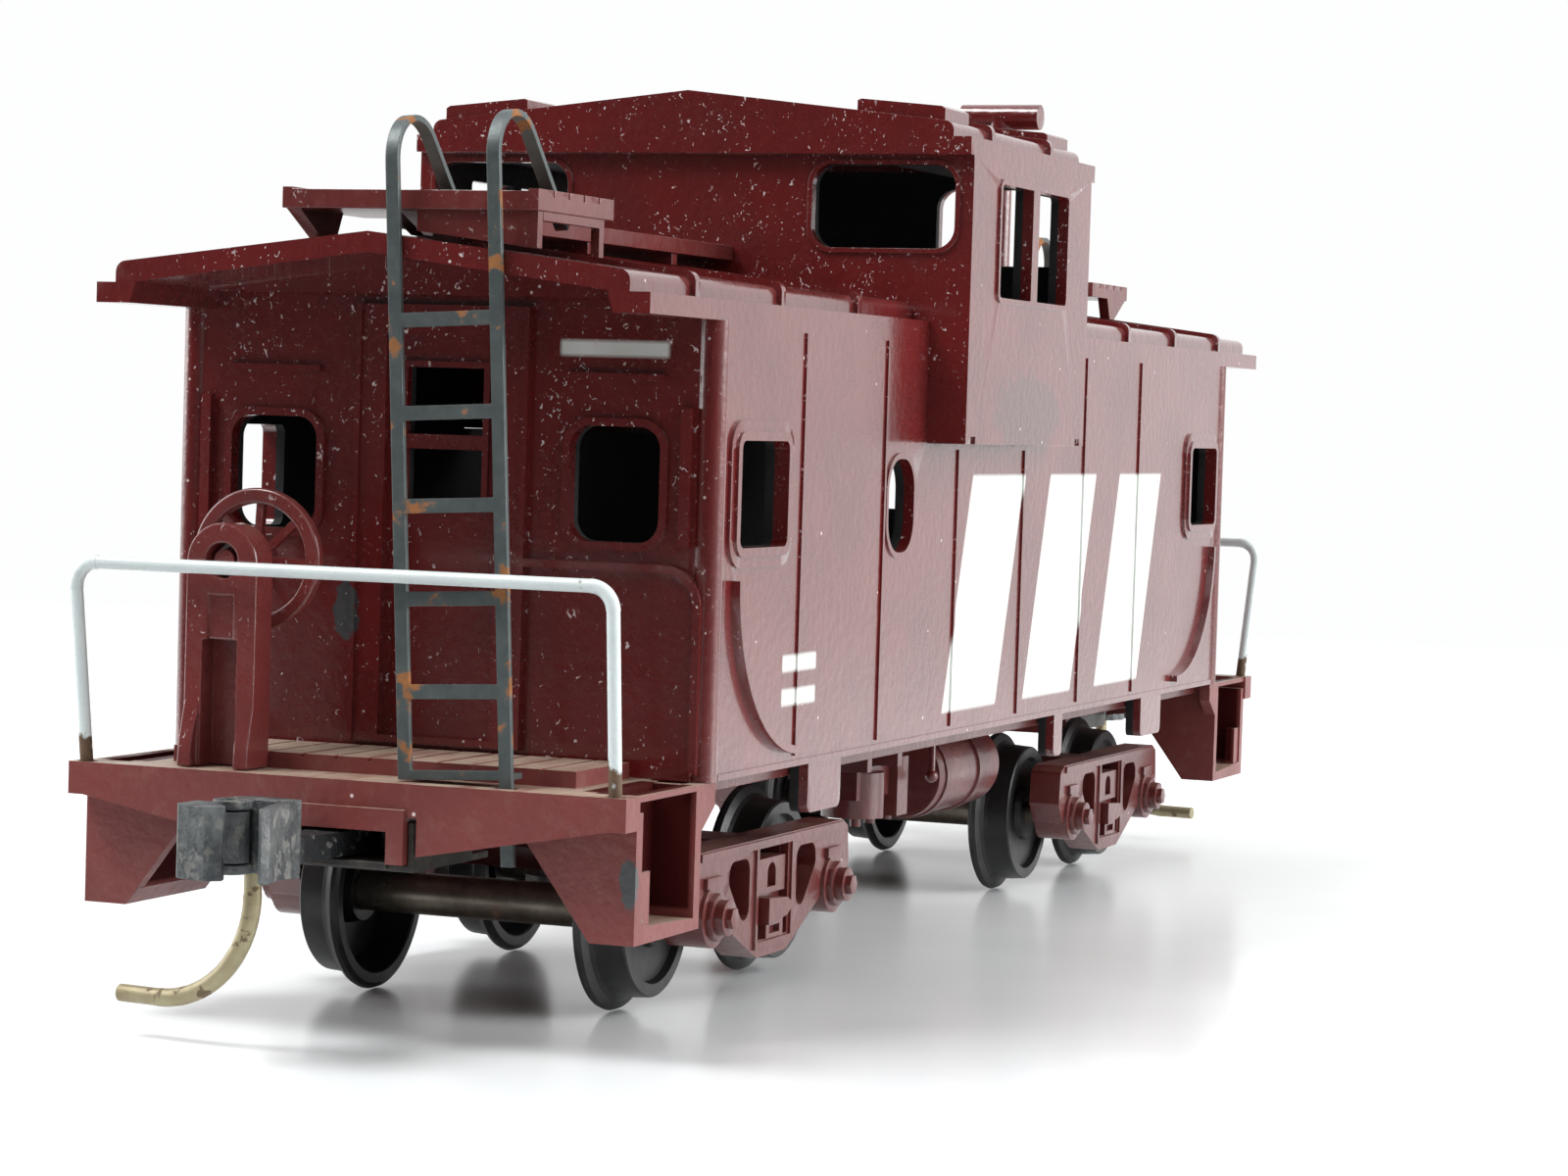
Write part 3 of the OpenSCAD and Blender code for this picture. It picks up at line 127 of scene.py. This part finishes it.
class Finish:
    """One node material: a colour and a roughness, with layers laid over them one by one."""

    def __init__(self, name):
        self.mat = bpy.data.materials.new(name)
        self.mat.use_nodes = True
        self.nodes, self.links = self.mat.node_tree.nodes, self.mat.node_tree.links
        self.bsdf = self.nodes["Principled BSDF"]
        self.pos = self.nodes.new("ShaderNodeTexCoord").outputs["Object"]
        self.colour = self.rough = None

    # single nodes

    def put(self, socket, value):
        """Link a socket, or set its value."""
        if isinstance(value, bpy.types.NodeSocket):
            self.links.new(value, socket)
        elif isinstance(value, (tuple, list)) and len(value) == 3 and socket.type == "RGBA":
            socket.default_value = (*value, 1)
        else:
            socket.default_value = value

    def math(self, op, a, b=0.0, clamp=False):
        n = self.nodes.new("ShaderNodeMath")
        n.operation, n.use_clamp = op, clamp
        self.put(n.inputs[0], a)
        self.put(n.inputs[1], b)
        return n.outputs[0]

    def times(self, a, b):
        return self.math("MULTIPLY", a, b)

    def magnitude(self, a):
        return self.math("ABSOLUTE", a)

    def vector_math(self, op, a, b=None):
        n = self.nodes.new("ShaderNodeVectorMath")
        n.operation = op
        self.put(n.inputs[0], a)
        if b is not None:
            n.inputs[1].default_value = b
        return n.outputs["Value" if op == "LENGTH" else "Vector"]

    def noise(self, scale, detail=4, rough=0.55, stretch=None, warp=0):
        """Soft noise around 0.5. The scale is per metre: 1000 gives patches about 1 mm across."""
        vector = self.pos
        if stretch:
            m = self.nodes.new("ShaderNodeMapping")
            self.put(m.inputs["Vector"], vector)
            m.inputs["Scale"].default_value = stretch
            vector = m.outputs[0]
        n = self.nodes.new("ShaderNodeTexNoise")
        self.put(n.inputs["Vector"], vector)
        for key, value in (("Scale", scale), ("Detail", detail), ("Roughness", rough),
                           ("Distortion", warp)):
            n.inputs[key].default_value = value
        return n.outputs["Fac"]

    def step(self, value, low, high, out_low=0.0, out_high=1.0):
        """A ramp from out_low at low to out_high at high, level beyond them."""
        n = self.nodes.new("ShaderNodeMapRange")
        self.put(n.inputs["Value"], value)
        for key, v in (("From Min", low), ("From Max", high),
                       ("To Min", out_low), ("To Max", out_high)):
            n.inputs[key].default_value = v
        return n.outputs[0]

    def mix(self, factor, a, b):
        n = self.nodes.new("ShaderNodeMix")
        n.data_type = "RGBA"
        # a Mix node's two colours are its sockets 6 and 7, and its colour output is socket 2
        self.put(n.inputs[0], factor)
        self.put(n.inputs[6], a)
        self.put(n.inputs[7], b)
        return n.outputs[2]

    def split(self, vector):
        n = self.nodes.new("ShaderNodeSeparateXYZ")
        self.put(n.inputs[0], vector)
        return n.outputs

    def bump(self, height, distance, strength, after=None):
        n = self.nodes.new("ShaderNodeBump")
        n.inputs["Strength"].default_value = strength
        n.inputs["Distance"].default_value = distance
        self.put(n.inputs["Height"], height)
        if after is not None:
            self.links.new(after, n.inputs["Normal"])
        return n.outputs[0]

    def normal(self):
        return self.split(self.nodes.new("ShaderNodeNewGeometry").outputs["Normal"])

    # masks: 1 where something shows, and 0 elsewhere

    def upward(self):
        """Faces that look up, and not those that stand upright."""
        return self.step(self.normal()[2], 0.55, 0.95)

    def without(self, mask, value):
        """The value where the mask is 0, and nothing where it is 1."""
        return self.times(self.math("SUBTRACT", 1.0, mask), value)

    def band(self, value, limits):
        """Between two limits in millimetres, with a soft edge."""
        low, high = limits
        edge = SOFT_EDGE * MM
        return self.times(self.step(value, low * MM - edge, low * MM + edge),
                          self.step(value, high * MM + edge, high * MM - edge))

    def any_of(self, masks):
        total = masks[0]
        for mask in masks[1:]:
            total = self.math("MAXIMUM", total, mask)
        return total

    def specks(self, scale, radius, share):
        """Small round dots at scattered places: share is how many of the cells have one."""
        # scale is the number of cells in a metre, and radius is a share of a cell
        v = self.nodes.new("ShaderNodeTexVoronoi")
        self.put(v.inputs["Vector"], self.pos)
        v.inputs["Scale"].default_value = scale
        near = self.step(v.outputs["Distance"], radius, radius * 0.6)
        chosen = self.math("LESS_THAN", self.split(v.outputs["Color"])[0], share)
        return self.times(near, chosen)

    def blotch(self, centre, half_size):
        """A ragged ellipsoid, in millimetres."""
        away = self.vector_math("SUBTRACT", self.pos, [c * MM for c in centre])
        away = self.vector_math("DIVIDE", away, [c * MM for c in half_size])
        ragged = self.step(self.noise(1300, 4), 0.25, 0.75, -0.35, 0.35)
        wavy = self.math("ADD", self.vector_math("LENGTH", away), ragged)
        return self.step(wavy, 1.08, 0.92)

    def room(self, half_length, half_width, middle, top):
        """Inside a room of the car, where painted shade makes the walls black, in millimetres."""
        x, y, z = self.split(self.pos)
        along = self.math("SUBTRACT", x, middle * MM)
        in_room_shade = self.times(self.math("LESS_THAN", self.magnitude(y), half_width * MM),
                            self.math("LESS_THAN", self.magnitude(along), half_length * MM))
        return self.times(in_room_shade, self.math("LESS_THAN", z, top * MM))

    def wells(self, x_near, x_far, y_near, y_far, bottom):
        """Inside the step wells, where painted shade darkens them, in millimetres."""
        x, y, z = self.split(self.pos)
        in_well_shade = self.times(self.band(self.magnitude(x), (x_near, x_far)),
                          self.band(self.magnitude(y), (y_near, y_far)))
        return self.times(in_well_shade, self.step(z, (bottom - 0.1) * MM, (bottom + 0.1) * MM))

    def white_marks(self):
        """The plain white bars and stripes. The bars lean the same way on both sides."""
        x, y, z = self.split(self.pos)
        along = self.times(x, self.times(self.math("SIGN", y), -1.0))
        leaning = self.math("SUBTRACT", along, self.times(z, MARKS["slant"]))
        half = MARKS["bar_half"]
        bars = self.any_of([self.band(leaning, (centre - half, centre + half))
                            for centre in MARKS["bar_centres"]])
        bars = self.times(bars, self.band(z, MARKS["bar_height"]))
        stripes = self.any_of([self.band(z, limits) for limits in MARKS["stripe_heights"]])
        stripes = self.times(self.band(along, MARKS["stripe_along"]), stripes)
        on_side = self.math("GREATER_THAN", self.magnitude(y), MARKS["side_face"] * MM)
        sides = self.times(self.any_of([bars, stripes]), on_side)
        across = self.times(y, self.math("SIGN", x))
        stripe = self.times(self.band(across, MARKS["end_stripe_across"]),
                            self.band(z, MARKS["end_stripe_height"]))
        on_end = self.math("GREATER_THAN", self.magnitude(x), MARKS["end_face"] * MM)
        return self.any_of([sides, self.times(stripe, on_end)])

    # layers

    def lay(self, mask, colour, rougher=0.0):
        """Cover what is there with a colour, and make it rougher."""
        self.colour = self.mix(mask, self.colour, colour)
        if rougher:
            self.rough = self.math("ADD", self.rough, self.times(mask, rougher), clamp=True)

    def write(self, fine, coarse):
        """Join the shader to its colour, roughness and relief.

        fine and coarse are each (height, depth in metres, strength).
        """
        self.put(self.bsdf.inputs["Base Color"], self.colour)
        self.put(self.bsdf.inputs["Roughness"], self.rough)
        self.put(self.bsdf.inputs["Normal"], self.bump(*fine, after=self.bump(*coarse)))


def paint(name, base, alt, rough, dust, specks, coat=0.6, grain=0.0, chips=0.0, glints=0.0,
          marks=False, blotches=(), room=None, wells=None):
    """Glossy moulded or sprayed plastic with orange peel, dust, specks and small chips.

    grain gives the top faces the look of dusty planks. glints are painted glint highlights, pale
    dots that stand out on the two ends. room is painted black inside as painted shade, and wells
    are the step wells, which light and dust hardly reach, painted dark inside as painted shade.
    """
    g = Finish(name)
    mottled = g.noise(160, 5)
    g.colour = g.mix(g.step(mottled, 0.38, 0.66), base, alt)
    g.rough = g.math("ADD", g.step(mottled, 0.3, 0.7, rough * 0.85, rough * 1.25),
                     g.step(g.noise(2600, 3), 0.3, 0.7, -0.02, 0.03))
    if grain:
        lines = g.step(g.noise(900, 4, 0.6, (0.12, 1.0, 1.0)), 0.32, 0.56, 0.25 * grain, grain)
        g.lay(g.times(lines, g.upward()), PLANK_GRAIN)
    if marks:
        unworn = g.step(g.noise(1500, 5, 0.7), 0.23, 0.29)
        white = g.mix(g.step(g.noise(260, 4), 0.3, 0.75), WHITE_MARK, WHITE_MARK_ALT)
        g.lay(g.times(g.white_marks(), unworn), white, 0.12)
    if chips:
        level = 0.735 - 0.03 * chips
        g.lay(g.step(g.noise(330, 5, 0.6), level, level + 0.01), SMALL_CHIP, 0.25)
    for centre, half_size, colour in blotches:
        g.lay(g.blotch(centre, half_size), colour)
    lying = g.times(g.times(g.step(g.noise(420, 6, 0.7), 0.38, 0.72), g.upward()), dust)
    film = g.times(g.step(g.noise(700, 6, 0.75), 0.52, 0.8), dust * 0.22)
    g.lay(g.any_of([lying, film]), DUST, 0.55)
    # pale specks: partly dust specks, partly painted sparkle highlights
    fine, large = g.specks(1500, 0.16, 0.07 * specks), g.specks(700, 0.09, 0.10 * specks)
    g.lay(g.any_of([fine, large]), SPECK_AND_SPARKLE, 0.3)
    if room:
        in_room_shade = g.room(*room)
        # painted shade: the inside of the room is painted near black, with no coat
        g.lay(in_room_shade, ROOM_SHADE, 0.6)
        coat = g.without(in_room_shade, coat)
    if wells:
        in_well_shade = g.wells(*wells)
        # painted shade: the inside of the step wells is painted dark, with no coat
        g.lay(in_well_shade, WELL_SHADE)
        # the export drops a linked specular level, and keeps the painted shade colour
        g.put(g.bsdf.inputs["Specular IOR Level"], g.step(in_well_shade, 0, 1, SPECULAR, WELL_SPECULAR))
        coat = g.without(in_well_shade, coat)
    if glints:
        # painted glint highlights: pale dots that lie in clusters, and more of them high up
        glint_clusters = g.step(g.noise(190, 3), 0.36, 0.66)
        low, high = GLINT_HEIGHTS
        high_up = g.step(g.split(g.pos)[2], low * MM, high * MM, 0.45, 1.0)
        lift = g.times(g.times(glint_clusters, high_up), 0.085)
        glint_noise = g.noise(3300, 2, 0.5, (1, 1, 0.8), 1.2)
        glint_dots = g.step(g.math("ADD", glint_noise, lift), 0.715, 0.75)
        on_ends = g.step(g.magnitude(g.normal()[0]), 0.5, 0.9)
        shown = g.times(g.times(glint_dots, on_ends), glints)
        g.lay(g.without(in_room_shade, shown) if room else shown, PAINTED_GLINT)
    g.write((g.noise(5200, 2, 0.5), 0.022 * MM, 0.5), (g.noise(1500, 2, 0.45), 0.09 * MM, 0.6))
    g.bsdf.inputs["IOR"].default_value = PAINT_IOR
    g.put(g.bsdf.inputs["Coat Weight"], coat)
    g.bsdf.inputs["Coat Roughness"].default_value = COAT_ROUGHNESS
    return g.mat


def metal(name, base, alt, rough, metallic, film=None, spots=None, foot=None, dark_within=None,
          cast=0.0):
    """Metal, or painted wire, with a dusty film and patches of rust or wear.

    film is (amount, colour), and spots is (amount, scale, level, colour). foot is a height below
    which the spots' colour covers everything, and dark_within a distance from the middle of the
    car, inside which the piece is painted dark as painted shade. cast makes the relief deeper.
    """
    g = Finish(name)
    cloudy = g.noise(420, 5, 0.65)
    g.colour = g.mix(g.step(cloudy, 0.35, 0.68), base, alt)
    g.rough = g.step(cloudy, 0.3, 0.7, rough * 0.8, rough * 1.25)
    metalness = metallic
    if film:
        amount, colour = film
        g.lay(g.times(g.step(g.noise(800, 6, 0.75), 0.42, 0.75), amount), colour, 0.4)
    if dark_within:
        # painted shade: inside the coupler box the piece is painted dark
        out = g.step(g.magnitude(g.split(g.pos)[0]),
                     (dark_within - 0.6) * MM, (dark_within + 0.6) * MM)
        g.colour = g.mix(out, SHANK_SHADE, g.colour)
    if spots:
        amount, scale, level, colour = spots
        where = g.step(g.noise(scale, 6, 0.6), level, level + 0.035, 0.0, amount)
        if foot:
            ragged = g.math("ADD", g.split(g.pos)[2],
                            g.step(g.noise(900, 4), 0.2, 0.8, -1.2 * MM, 1.2 * MM))
            where = g.any_of([where, g.step(ragged, foot * MM, (foot - 0.35) * MM)])
        tone = g.mix(g.noise(1800, 4), colour, tuple(c * 0.35 for c in colour))
        g.lay(where, tone, 0.45)
        metalness = g.without(where, metallic)
    g.write((g.noise(4200, 3, 0.5), (0.01 + 0.04 * cast) * MM, 0.5),
            (g.noise(1100, 5, 0.6), (0.03 + 0.12 * cast) * MM, 0.6))
    g.put(g.bsdf.inputs["Metallic"], metalness)
    return g.mat


BODY = paint("body_paint", MAROON, MAROON_ALT, 0.24, dust=0.10, specks=0.35, coat=0.9, glints=0.85,
             marks=True, blotches=BODY_BLOTCHES, room=BODY_ROOM)
ROOF = paint("cupola_paint", MAROON, MAROON_ALT, 0.24, dust=0.12, specks=0.35, coat=0.9,
             glints=0.9, blotches=CUPOLA_SMEARS, room=CUPOLA_ROOM)
WALK = paint("roof_walk_plastic", (0.140, 0.024, 0.022), (0.115, 0.019, 0.018), 0.30, dust=0.55,
             specks=0.5, coat=0.4, grain=0.6, glints=0.4)
TRIM = paint("trim_plastic", (0.160, 0.028, 0.026), (0.130, 0.022, 0.021), 0.27, dust=0.28,
             specks=0.3, chips=0.25, glints=0.5)
DECK = paint("deck_plastic", PLASTIC, PLASTIC_ALT, 0.38, dust=0.85, specks=0.3, coat=0.1,
             grain=1.0, chips=0.5, blotches=DECK_BLOTCHES, wells=STEP_WELLS)
GEAR = paint("truck_plastic", (0.118, 0.021, 0.019), (0.092, 0.016, 0.015), 0.30, dust=0.34,
             specks=0.25, coat=0.3, chips=0.4, blotches=GEAR_BLOTCHES)
STRAP = metal("ladder_strap", (0.088, 0.105, 0.105), (0.060, 0.073, 0.075), 0.42, 0.40,
              film=(0.25, (0.20, 0.21, 0.20)), spots=(0.95, 400, 0.595, (0.40, 0.155, 0.045)))
WIRE = metal("white_wire", (0.66, 0.72, 0.72), (0.60, 0.66, 0.66), 0.28, 0.0,
             spots=(0.85, 520, 0.68, (0.15, 0.085, 0.045)), foot=WIRE_FOOT)
WHEEL = metal("wheel_black", (0.018, 0.018, 0.019), (0.011, 0.011, 0.012), 0.34, 0.35,
              film=(0.10, (0.16, 0.15, 0.14)))
AXLE = metal("axle_steel", (0.26, 0.23, 0.185), (0.15, 0.125, 0.10), 0.32, 0.85,
             spots=(0.8, 700, 0.63, (0.22, 0.10, 0.05)))
CAST = metal("coupler_casting", (0.125, 0.133, 0.135), (0.040, 0.045, 0.050), 0.50, 0.55,
             film=(0.45, (0.32, 0.33, 0.32)), spots=(0.42, 1100, 0.58, (0.40, 0.39, 0.35)),
             dark_within=SHANK_WITHIN, cast=2.2)
BRASS = metal("trip_brass", (0.36, 0.32, 0.19), (0.27, 0.215, 0.12), 0.40, 0.40,
              film=(0.3, (0.42, 0.37, 0.29)), spots=(0.8, 900, 0.58, (0.16, 0.09, 0.045)),
              cast=0.4)
COVER = metal("cover_steel", (0.050, 0.048, 0.048), (0.032, 0.030, 0.030), 0.42, 0.7,
              film=(0.35, (0.22, 0.18, 0.14)))
PLAIN_STEEL = metal("plain_steel", (0.25, 0.25, 0.25), (0.17, 0.17, 0.17), 0.35, 0.9,
                    film=(0.15, (0.5, 0.46, 0.4)))


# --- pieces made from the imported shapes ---

# corners that turn by more than this many degrees are rounded
ROUND_OVER = 33
# faces that meet at less than this many degrees are shaded as one surface
SMOOTH_UNDER = 20
# points closer than this, in metres, are one point
SAME_POINT = 2e-6


def moulded_mesh(node, edge, fillets):
    """The node's own shape, with the fillets added and its edges rounded."""
    plain = bpy.data.meshes.new(node + "_plain")
    bm = bmesh.new()
    bm.from_mesh(NODES[node].data)
    bmesh.ops.remove_doubles(bm, verts=bm.verts, dist=SAME_POINT)
    for centre, size in fillets:
        place = Matrix.Translation([c * MM for c in centre])
        place = place @ Matrix.Diagonal([*(c * MM for c in size), 1])
        bmesh.ops.create_cube(bm, size=1, matrix=place)
    bm.to_mesh(plain)
    bm.free()
    block = bpy.data.objects.new(node + "_plain", plain)
    bpy.context.scene.collection.objects.link(block)
    bevel = block.modifiers.new("edges", "BEVEL")
    bevel.width, bevel.segments = edge * MM, 2
    bevel.limit_method, bevel.angle_limit = "ANGLE", math.radians(ROUND_OVER)
    rounded = block.evaluated_get(bpy.context.evaluated_depsgraph_get())
    mesh = bpy.data.meshes.new_from_object(rounded)
    mesh.name = node + "_moulded"
    bpy.data.objects.remove(block)
    bpy.data.meshes.remove(plain)
    return mesh


def soften(node, material, edge, fillets=()):
    """A piece in the node's place with its edges rounded, as moulded plastic or a casting has.

    edge is the width of the rounding, and fillets is a list of (centre, size) for small blocks
    that fill corners of the shape, all in millimetres.
    """
    mesh = moulded_mesh(node, edge, fillets)
    # curved faces shade smoothly, and flat faces stay flat right up to their rounded edges
    for poly in mesh.polygons:
        poly.use_smooth = True
    mesh.set_sharp_from_angle(angle=math.radians(SMOOTH_UNDER))
    mesh.materials.clear()
    mesh.materials.append(material)
    piece = bpy.data.objects.new(node + "_moulded", mesh)
    bpy.context.scene.collection.objects.link(piece)
    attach(piece, BODY_OF[node])
    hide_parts(node)
    weighted = piece.modifiers.new("flat_faces", "WEIGHTED_NORMAL")
    weighted.keep_sharp, weighted.weight = True, 100


def finish_node(node, material):
    """A node kept as packed, with its finish."""
    data = NODES[node].data
    data.materials.clear()
    data.materials.append(material)


def step_well_webs(end):
    """Webs that join the rear plate of each step well to the deck above it."""
    way = -1 if end == "near" else 1
    x, y, z = WEB_MIDDLE
    return [((way * x, hand * y, z), WEB_SIZE) for hand in (-1, 1)]


soften("body_shell", BODY, 0.06)
soften("cupola_shell", ROOF, 0.07)
soften("smokejack", ROOF, 0.07)
for end in ENDS:
    soften("roof_walk_" + end, WALK, 0.06)
    soften("end_platform_" + end, DECK, 0.07, step_well_webs(end))
    soften("brake_stand_" + end, TRIM, 0.10)
    soften("brake_wheel_" + end, TRIM, 0.07)
    soften("ladder_" + end, STRAP, 0.05)
    soften("coupler_cover_" + end, COVER, 0.05)
    soften("coupler_" + end, CAST, 0.16)
    soften("knuckle_" + end, CAST, 0.18)
    soften("truck_bolster_" + end, GEAR, 0.08)
    for side in SIDES:
        soften(f"sideframe_{end}_{side}", GEAR, 0.10)
    finish_node("knuckle_pin_" + end, CAST)
    finish_node("handrail_" + end, WIRE)
    finish_node("trip_pin_" + end, BRASS)
for node in ("underframe", "brake_valve", "brake_cylinder", "brake_pipes", "air_tank"):
    soften(node, GEAR, 0.08)
for node in ("ballast_weight", "truck_screws"):
    finish_node(node, PLAIN_STEEL)
for k in AXLES:
    finish_node(f"axle_{k}", AXLE)
    for side in SIDES:
        finish_node(f"wheel_{k}_{side}", WHEEL)


# --- floor, light and camera, in metres ---

# the board's near edge lies behind the camera, and its other edges are out of sight
FLOOR_NEAR, FLOOR_FAR = -0.42, 6.0
FLOOR_DROP = 0.00002
# the board fades into the backdrop between these distances from the car's middle
FADE_FROM, FADE_TO = 0.13, 0.40
BOARD_DIM = (0.03, 0.03, 0.03)

# how the surroundings dim toward the near end, for light and reflections only: the x where they
# are dimmest, the x where they are fully lit, and the dimmest level. For the world, x is that of
# a direction and not of a place.
BOARD_SHADE = (-0.16, -0.066, 0.12)
GLOW_SHADE = (-0.25, -0.05, 0.1)
WORLD_SHADE = (-0.95, 0.05, 0.05)

# each light's name, place, width and power; all of them look at LIT_POINT
LIT_POINT = Vector((0, 0, 0.02))
LIGHTS = [
    ("key", (-0.30, 0.30, 0.65), 0.30, 5.0),
    ("front", (-0.65, -0.30, 0.40), 0.5, 0.8),
    ("side", (0.25, -0.75, 0.35), 0.6, 8.0),
    ("far_side", (-0.1, 0.8, 0.3), 0.6, 3.0),
]

# the photograph's viewpoint: turn about Z, height above level and roll, then distance and target
VIEW_AZ, VIEW_EL, VIEW_ROLL = (math.radians(angle) for angle in (-68.811, 2.455, 1.772))
VIEW_DIST = 0.26213
VIEW_AT = Vector((0, -0.000126, 0.022097))
SENSOR_WIDTH = 36
PHOTO_WIDTH = 1600
FOCAL_LENGTH = 3999.45  # on the scale on which the photograph is PHOTO_WIDTH wide
CLIP = (0.01, 20)


def stage_floor():
    """A pale board. Rays that don't come straight from the camera see its near part as dim."""
    mesh = bpy.data.meshes.new("floor")
    corners = [(FLOOR_NEAR, -FLOOR_FAR, 0), (FLOOR_FAR, -FLOOR_FAR, 0),
               (FLOOR_FAR, FLOOR_FAR, 0), (FLOOR_NEAR, FLOOR_FAR, 0)]
    mesh.from_pydata(corners, [], [(0, 1, 2, 3)])
    floor = bpy.data.objects.new("floor", mesh)
    bpy.context.scene.collection.objects.link(floor)
    floor.location.z = -FLOOR_DROP
    g = Finish("floor_board")
    x, y, _ = g.split(g.pos)
    board = g.mix(g.noise(6, 2), (0.80, 0.83, 0.84), (0.84, 0.86, 0.87))
    # the car's near end mirrors a board that is as dim as the room behind the camera
    seen_directly = g.nodes.new("ShaderNodeLightPath").outputs["Is Camera Ray"]
    lit = g.any_of([seen_directly, g.step(x, *BOARD_SHADE)])
    g.put(g.bsdf.inputs["Base Color"], g.mix(lit, BOARD_DIM, board))
    g.put(g.bsdf.inputs["Roughness"], g.step(g.noise(30, 3), 0.3, 0.7, 0.17, 0.24))
    glow = g.nodes.new("ShaderNodeEmission")
    glow.inputs["Color"].default_value = BACKDROP
    g.put(glow.inputs["Strength"], g.any_of([seen_directly, g.step(x, *GLOW_SHADE)]))
    away = g.math("SQRT", g.math("ADD", g.times(x, x), g.times(y, y)))
    blend = g.nodes.new("ShaderNodeMixShader")
    g.put(blend.inputs[0], g.step(away, FADE_FROM, FADE_TO))
    g.links.new(g.bsdf.outputs[0], blend.inputs[1])
    g.links.new(glow.outputs[0], blend.inputs[2])
    g.links.new(blend.outputs[0], g.nodes["Material Output"].inputs["Surface"])
    mesh.materials.append(g.mat)


def studio_world():
    """White walls on three sides and overhead, and a dim room beyond the near end.

    The camera itself sees white all round: only light and reflections get the dim room.
    """
    world = bpy.data.worlds.new("studio")
    bpy.context.scene.world = world
    world.use_nodes = True
    nodes, join = world.node_tree.nodes, world.node_tree.links.new
    parts = nodes.new("ShaderNodeSeparateXYZ")
    join(nodes.new("ShaderNodeTexCoord").outputs["Generated"], parts.inputs[0])
    ramp = nodes.new("ShaderNodeMapRange")
    ramp.interpolation_type = "SMOOTHSTEP"
    join(parts.outputs[0], ramp.inputs["Value"])
    for key, value in zip(("From Min", "From Max", "To Min"), WORLD_SHADE):
        ramp.inputs[key].default_value = value
    strength = nodes.new("ShaderNodeMath")
    strength.operation = "MAXIMUM"
    join(ramp.outputs[0], strength.inputs[0])
    join(nodes.new("ShaderNodeLightPath").outputs["Is Camera Ray"], strength.inputs[1])
    nodes["Background"].inputs["Color"].default_value = BACKDROP
    join(strength.outputs[0], nodes["Background"].inputs["Strength"])


def area_light(name, place, width, power):
    light = bpy.data.lights.new(name, "AREA")
    light.shape, light.size, light.energy = "SQUARE", width, power
    lamp = bpy.data.objects.new(name, light)
    lamp.location = place
    lamp.rotation_mode = "QUATERNION"
    lamp.rotation_quaternion = (Vector(place) - LIT_POINT).to_track_quat("Z", "Y")
    bpy.context.scene.collection.objects.link(lamp)


def photo_camera():
    toward = Vector((math.sin(VIEW_AZ) * math.cos(VIEW_EL),
                     -math.cos(VIEW_AZ) * math.cos(VIEW_EL), math.sin(VIEW_EL)))
    data = bpy.data.cameras.new("camera")
    data.sensor_width = SENSOR_WIDTH
    data.lens = FOCAL_LENGTH * SENSOR_WIDTH / PHOTO_WIDTH
    data.clip_start, data.clip_end = CLIP
    camera = bpy.data.objects.new("camera", data)
    bpy.context.scene.collection.objects.link(camera)
    turned = (-toward).to_track_quat("-Z", "Y").to_matrix() @ Matrix.Rotation(VIEW_ROLL, 3, "Z")
    camera.matrix_world = Matrix.Translation(VIEW_AT + toward * VIEW_DIST) @ turned.to_4x4()
    bpy.context.scene.camera = camera


stage_floor()
studio_world()
for light in LIGHTS:
    area_light(*light)
photo_camera()
bpy.context.scene.view_settings.view_transform = "Standard"
